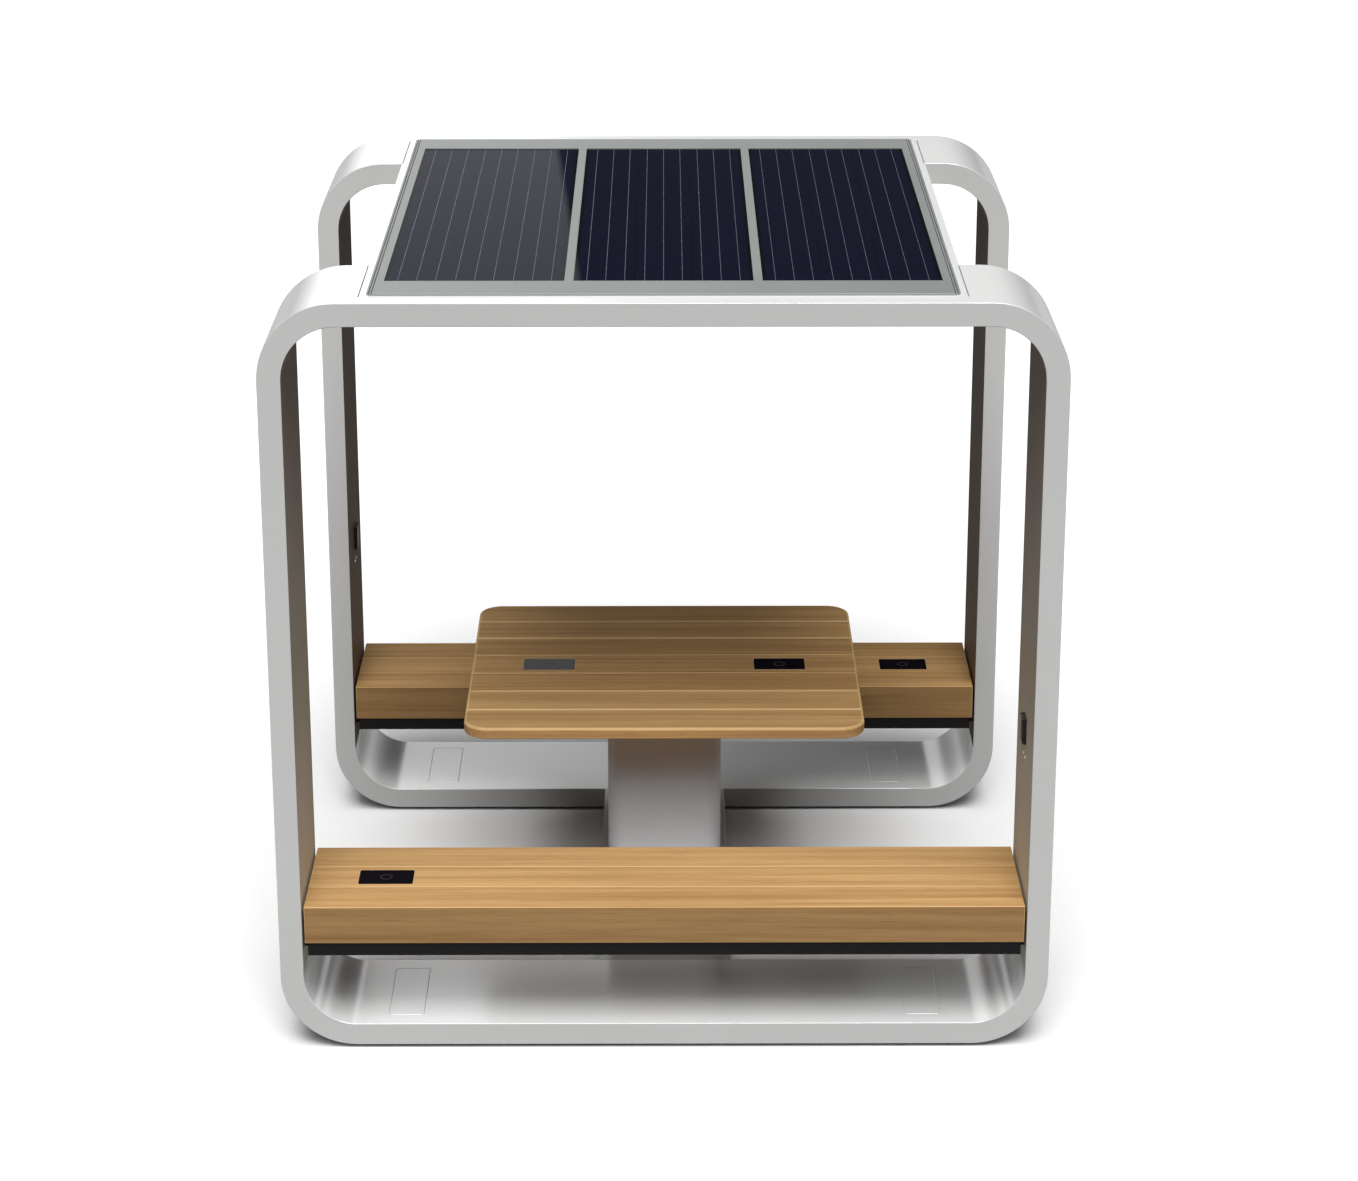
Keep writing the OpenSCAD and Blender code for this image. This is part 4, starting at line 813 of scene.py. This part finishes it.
        share = add_node(tree, "ShaderNodeMath", {"operation": "MAXIMUM"},
                         {0: left_part, 1: far_part}).outputs[0]
        pale = add_node(tree, "ShaderNodeMath", {"operation": "MULTIPLY"}, {0: turn, 1: share}).outputs[0]
        wall = add_node(tree, "ShaderNodeMath", {"operation": "MULTIPLY"}, {0: top, 1: pale}).outputs[0]
        path = add_node(tree, "ShaderNodeLightPath").outputs
        lit = add_node(tree, "ShaderNodeMix", {"data_type": "FLOAT", 3: self.dim_wall},
                       {0: path["Is Diffuse Ray"], 2: wall}).outputs[0]
        seen = add_node(tree, "ShaderNodeMix", {"data_type": "FLOAT", 3: 1.0},
                        {0: path["Is Camera Ray"], 2: lit}).outputs[0]
        background = tree.nodes["Background"]
        background.inputs["Color"].default_value = (1.0, 1.0, 1.0, 1.0)
        tree.links.new(seen, background.inputs["Strength"])
        bpy.context.scene.world = world

    def build(self) -> None:
        """Sets up the camera, floor and lights."""
        self.camera()
        self.floor()
        self.sun("key", self.key_elevation, self.key_width, self.key_strength)
        self.sun("fill", self.fill_elevation, self.fill_width, self.fill_strength)
        self.walls()
        bpy.context.scene.view_settings.view_transform = "Standard"


def faces_up(face: bmesh.types.BMFace) -> int:
    """Returns 1 for a face of a level top, else 0."""
    return int(face.normal.z > LEVEL)


class Skin(IntEnum):
    """The parts of a leg's skin, each with its own finish."""

    OUTER = 0
    INNER = 1
    BASE = 2
    TOP = 3


@dataclass
class Hoops:
    """The two hoops with their base beams, hatches, foot strips and the spine between them."""

    hoop_edge: Bevel = Bevel(1.8, segments=3, planes="y")
    hatch_edge: Bevel = Bevel(0.6, planes="z")
    spine_edge: Bevel = Bevel(1.5, planes="x")
    foot_edge: Bevel = Bevel(1.0)
    # Heights that part a leg's skin: the lower bend's end, the upper bend's start, and the roof's underside
    low_bend: float = 240 * MM
    high_bend: float = 1900 * MM
    under_roof: float = 2150 * MM

    def skin_of(self, face: bmesh.types.BMFace) -> Skin:
        """Says which part of a leg's skin a face lies in.

        Args:
            face: A face of a leg.

        Returns:
            TOP from the upper bend's start on outside, INNER on the inner side of a post and of an upper
            bend, BASE on the inner side lower down, else OUTER.
        """
        middle = face.calc_center_median()
        side = 1 if middle.x > 0 else -1
        if abs(face.normal.y) > ACROSS:
            return Skin.OUTER
        if middle.z > self.high_bend and face.normal.z > TINY:
            return Skin.TOP
        if face.normal.x * side > -ACROSS / 2 and face.normal.z < LEVEL:
            return Skin.OUTER
        if middle.z < self.low_bend:
            return Skin.BASE
        return Skin.INNER if middle.z < self.under_roof else Skin.OUTER

    def build(self) -> None:
        """Makes the hoops' pieces."""
        joints = tuple(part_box(node)[1].x for node in ("roof_tray", "front_base_beam"))
        hoop_edge = replace(self.hoop_edge, flush_x=joints)
        # The back hoop's inner faces take the copy painted with deeper shade
        for fb, inner in (("front", Metal.INNER), ("back", Metal.SHADED_INNER)):
            for lr in ("left", "right"):
                # Each leg's skin: painted top light above, painted shade on the inner sides, painted light
                # low on the inner sides
                dressed(f"{fb}_{lr}_leg", hoop_edge, Metal.HOOP, self.skin_of,
                        [inner, Metal.BASE, Metal.TOP])
                dressed(f"{fb}_{lr}_hatch", self.hatch_edge, Metal.BASE)
            dressed(f"{fb}_base_beam", hoop_edge, Metal.HOOP, faces_up, [Metal.BASE])
        dressed("floor_spine", self.spine_edge, Metal.HOOP)
        dressed("foot_strips", self.foot_edge, Moulded.RUBBER)
        painted("frame_bolts", Metal.FASTENER)


class Stripe(IntEnum):
    """What a stripe across or along a solar panel shows, by its finish's number in Solar."""

    CELL = 0
    GAP = 1
    RIBBON = 2


@dataclass
class Roof:
    """The roof slab, the panel frame and three solar panels."""

    cell: float = 156 * MM
    pitch: float = 159 * MM
    columns: int = 3
    rows: int = 11
    ribbon: float = 1.5 * MM
    ribbons: int = 3
    groove_depth: float = 1 * MM
    tray_edge: Bevel = Bevel(1.8, 0.4, 3, "y")
    sheet_edge: Bevel = Bevel(0.8)
    frame_edge: Bevel = Bevel(0.6)

    def lines_across(self) -> list[tuple[float, Stripe]]:
        """Works out where the pattern changes along the panel's width.

        Returns:
            The end of each stripe, measured from the panel's middle, and what it shows.
        """
        stripes = []
        left = -(self.columns * self.pitch) / 2
        step = self.cell / self.ribbons
        for column in range(self.columns):
            start = left + column * self.pitch + (self.pitch - self.cell) / 2
            stripes.append((start, Stripe.GAP))
            for k in range(self.ribbons):
                middle = start + (k + 0.5) * step
                stripes.append((middle - self.ribbon / 2, Stripe.CELL))
                stripes.append((middle + self.ribbon / 2, Stripe.RIBBON))
            stripes.append((start + self.cell, Stripe.CELL))
        return stripes

    def lines_along(self) -> list[tuple[float, Stripe]]:
        """Works out where the pattern changes along the panel's length.

        Returns:
            The end of each stripe, measured from the panel's middle, and whether it is a cell or a gap.
        """
        stripes = []
        front = -(self.rows * self.pitch) / 2
        for row in range(self.rows):
            start = front + row * self.pitch + (self.pitch - self.cell) / 2
            stripes += [(start, Stripe.GAP), (start + self.cell, Stripe.CELL)]
        return stripes

    def panel(self, node: str) -> None:
        """Makes one solar panel: a slab of glass whose top shows cells, ribbons and the dark backing.

        Args:
            node: The CAD node that it stands for.
        """
        lo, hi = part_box(node)
        middle = (lo + hi) / 2
        across = [(lo.x, Stripe.GAP)]
        across += [(middle.x + x, shows) for x, shows in self.lines_across()]
        across.append((hi.x, Stripe.GAP))
        along = [(lo.y, Stripe.GAP)]
        along += [(middle.y + y, shows) for y, shows in self.lines_along()]
        along.append((hi.y, Stripe.GAP))
        bm = bmesh.new()
        grid = [[bm.verts.new((x, y, hi.z)) for x, _ in across] for y, _ in along]
        corners = ((lo.x, lo.y), (hi.x, lo.y), (hi.x, hi.y), (lo.x, hi.y))
        under = [bm.verts.new((x, y, lo.z)) for x, y in corners]
        for j in range(1, len(along)):
            for i in range(1, len(across)):
                face = bm.faces.new((grid[j - 1][i - 1], grid[j - 1][i], grid[j][i], grid[j][i - 1]))
                stripe = across[i][1]
                row = along[j][1]
                # A ribbon runs on over the gaps between cells, where it carries the painted glint, but not
                # over the rim
                on_cells = 1 < j < len(along) - 1
                if stripe is Stripe.RIBBON and on_cells:
                    face.material_index = Stripe.RIBBON + row
                else:
                    face.material_index = min(Stripe.GAP, stripe + row)
        rims = [grid[0], [row[-1] for row in grid], grid[-1][::-1], [row[0] for row in grid][::-1]]
        for k, rim in enumerate(rims):
            side = bm.faces.new([under[k], under[(k + 1) % len(under)], *reversed(rim)])
            side.material_index = Stripe.GAP
        bm.faces.new(under[::-1]).material_index = Stripe.GAP
        bmesh.ops.recalc_face_normals(bm, faces=bm.faces)
        mesh = bpy.data.meshes.new(node + "_cells")
        bm.to_mesh(mesh)
        bm.free()
        for item in Solar:
            mesh.materials.append(item.value.material())
        piece = link_mesh(node + "_cells", mesh)
        settle(piece, body_of(node))
        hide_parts(node)

    def build(self) -> None:
        """Makes the roof's pieces."""
        tray_edge = replace(self.tray_edge, flush_x=(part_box("roof_tray")[1].x,))
        # The roof tray's top faces get the painted top light
        dressed("roof_tray", tray_edge, Metal.HOOP, faces_up, [Metal.TOP])
        dressed("ceiling_panel", self.sheet_edge, Metal.ROOF)
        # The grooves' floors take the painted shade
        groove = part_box("panel_frame")[1].z - self.groove_depth
        dressed("panel_frame", self.frame_edge, Metal.FRAME,
                lambda face: int(abs(face.calc_center_median().z - groove) < TINY), [Metal.GROOVE])
        for where in ("left", "middle", "right"):
            self.panel(f"{where}_solar_panel")
        painted("roof_chassis", Metal.CHASSIS)
        painted("ceiling_screws", Metal.FASTENER)
        painted("panel_seal", Moulded.RUBBER)
        painted("junction_boxes", Moulded.ABS)


@dataclass
class Benches:
    """Two benches: seat boards and mitred aprons over a black frame."""

    board_edge: Bevel = Bevel(1.6)
    frame_edge: Bevel = Bevel(1.0)

    def build(self) -> None:
        """Makes the benches' pieces."""
        for fb in ("front", "back"):
            # Board edges take the painted highlight; aprons the teak painted with shade
            for part in ("outer_board", "middle_board", "inner_board"):
                dressed(f"{fb}_bench_{part}", self.board_edge, Wood.BOARD, edge_finish=Wood.EDGE)
            for part in ("outer_apron", "inner_apron"):
                dressed(f"{fb}_bench_{part}", self.board_edge, Wood.APRON, edge_finish=Wood.EDGE)
            dressed(f"{fb}_bench_frame", self.frame_edge, Metal.BLACK)
        dressed("bench_end_boards", self.board_edge, Wood.APRON)
        dressed("bench_brackets", self.frame_edge, Metal.BLACK)
        painted("board_screws", Metal.FASTENER)


@dataclass
class Table:
    """The table top of seven boards on black bars."""

    board_edge: Bevel = BoardBevel(7.0, 1.8, 4)
    frame_edge: Bevel = Bevel(1.0)

    def build(self) -> None:
        """Makes the table's pieces."""
        # The board edges take the painted highlight
        for part in ("front_board", "back_board", "middle_board", "plain_boards"):
            dressed(f"table_{part}", self.board_edge, Wood.BOARD, edge_finish=Wood.EDGE)
        dressed("table_bearers", self.frame_edge, Metal.BLACK)
        dressed("table_head_plate", self.frame_edge, Metal.HOOP)


@dataclass
class Pedestal:
    """The column with its service door, and what stands inside."""

    column_edge: Bevel = Bevel(0.6, planes="z")
    sheet_edge: Bevel = Bevel(0.8)
    lock_edge: Bevel = Bevel(0.5)
    battery_edge: Bevel = Bevel(3.0, segments=3)

    def build(self) -> None:
        """Makes the pedestal's pieces."""
        dressed("pedestal_column", self.column_edge, Metal.COLUMN)
        dressed("service_door", self.sheet_edge, Metal.COLUMN)
        dressed("door_lock", self.lock_edge, Metal.FASTENER)
        dressed("battery_pack", self.battery_edge, Moulded.BATTERY)
        dressed("charge_controller", self.sheet_edge, Moulded.MODULE)
        dressed("power_converter", self.sheet_edge, Moulded.MODULE)
        painted("door_hinge_pins", Metal.FASTENER)
        painted("door_seal", Moulded.RUBBER)
        painted("leads", Moulded.SHEATH)


@dataclass
class Charging:
    """Four charging pads and two outlets with their covers and lights."""

    mark_radius: float = 15 * MM
    mark_width: float = 2.4 * MM
    mark_height: float = 0.05 * MM
    mark_corners: int = 48
    glass_edge: Bevel = Bevel(0.8, planes="z")
    outlet_edge: Bevel = Bevel(0.6)
    cover_edge: Bevel = Bevel(0.8)
    light_edge: Bevel = Bevel(0.5)
    # How far from the middle a pad still lies in the table
    table_reach: float = 200 * MM

    def seat_of(self, place: Vector) -> str:
        """Says what a pad is let into.

        Args:
            place: A point on the pad.

        Returns:
            The bench, or the half of the table.
        """
        if abs(place.y) < self.table_reach:
            return "table_left" if place.x < 0 else "table_right"
        return "front_bench" if place.y < 0 else "back_bench"

    def dulled(self, face: bmesh.types.BMFace) -> int:
        """Returns 1 on the table's left pad, else 0."""
        return int(self.seat_of(face.calc_center_median()) == "table_left")

    def mark(self, name: str, centre: Vector) -> None:
        """Prints a plain ring on a pad.

        Args:
            name: The ring's name.
            centre: The middle of the pad's top.
        """
        inner = self.mark_radius
        outer = inner + self.mark_width
        top = centre.z + self.mark_height
        turns = [math.tau * k / self.mark_corners for k in range(self.mark_corners)]
        rings = []
        bm = bmesh.new()
        for radius, z in ((inner, centre.z), (inner, top), (outer, top), (outer, centre.z)):
            rings.append([
                bm.verts.new((centre.x + radius * math.cos(t), centre.y + radius * math.sin(t), z))
                for t in turns
            ])
        for near, far in zip(rings, rings[1:] + rings[:1]):
            for k in range(self.mark_corners):
                bm.faces.new((near[k], near[k - 1], far[k - 1], far[k]))
        bmesh.ops.recalc_face_normals(bm, faces=bm.faces)
        mesh = bpy.data.meshes.new(name)
        bm.to_mesh(mesh)
        bm.free()
        mesh.materials.append(Moulded.PRINT.value.material())
        settle(link_mesh(name, mesh), "stand")

    def build(self) -> None:
        """Makes the charging pieces."""
        dressed("pad_glasses", self.glass_edge, Moulded.PAD_GLASS, self.dulled, [Moulded.DULLED_GLASS])
        for top in tops_of_solids("pad_glasses"):
            self.mark(f"{self.seat_of(top)}_pad_mark", top)
        painted("pad_housings", Moulded.ABS)
        painted("pad_coils", Metal.COPPER)
        dressed("usb_outlets", self.outlet_edge, Moulded.ABS)
        for fb in ("front", "back"):
            dressed(f"{fb}_usb_cover", self.cover_edge, Moulded.ABS)
        dressed("status_lights", self.light_edge, Moulded.LENS)


def main() -> None:
    """Builds the scene: the studio first, then each sub-assembly."""
    logging.basicConfig(level=logging.INFO, format="%(message)s")
    for part in (Studio(), Hoops(), Roof(), Benches(), Table(), Pedestal(), Charging()):
        part.build()


if __name__ == "__main__":
    main()
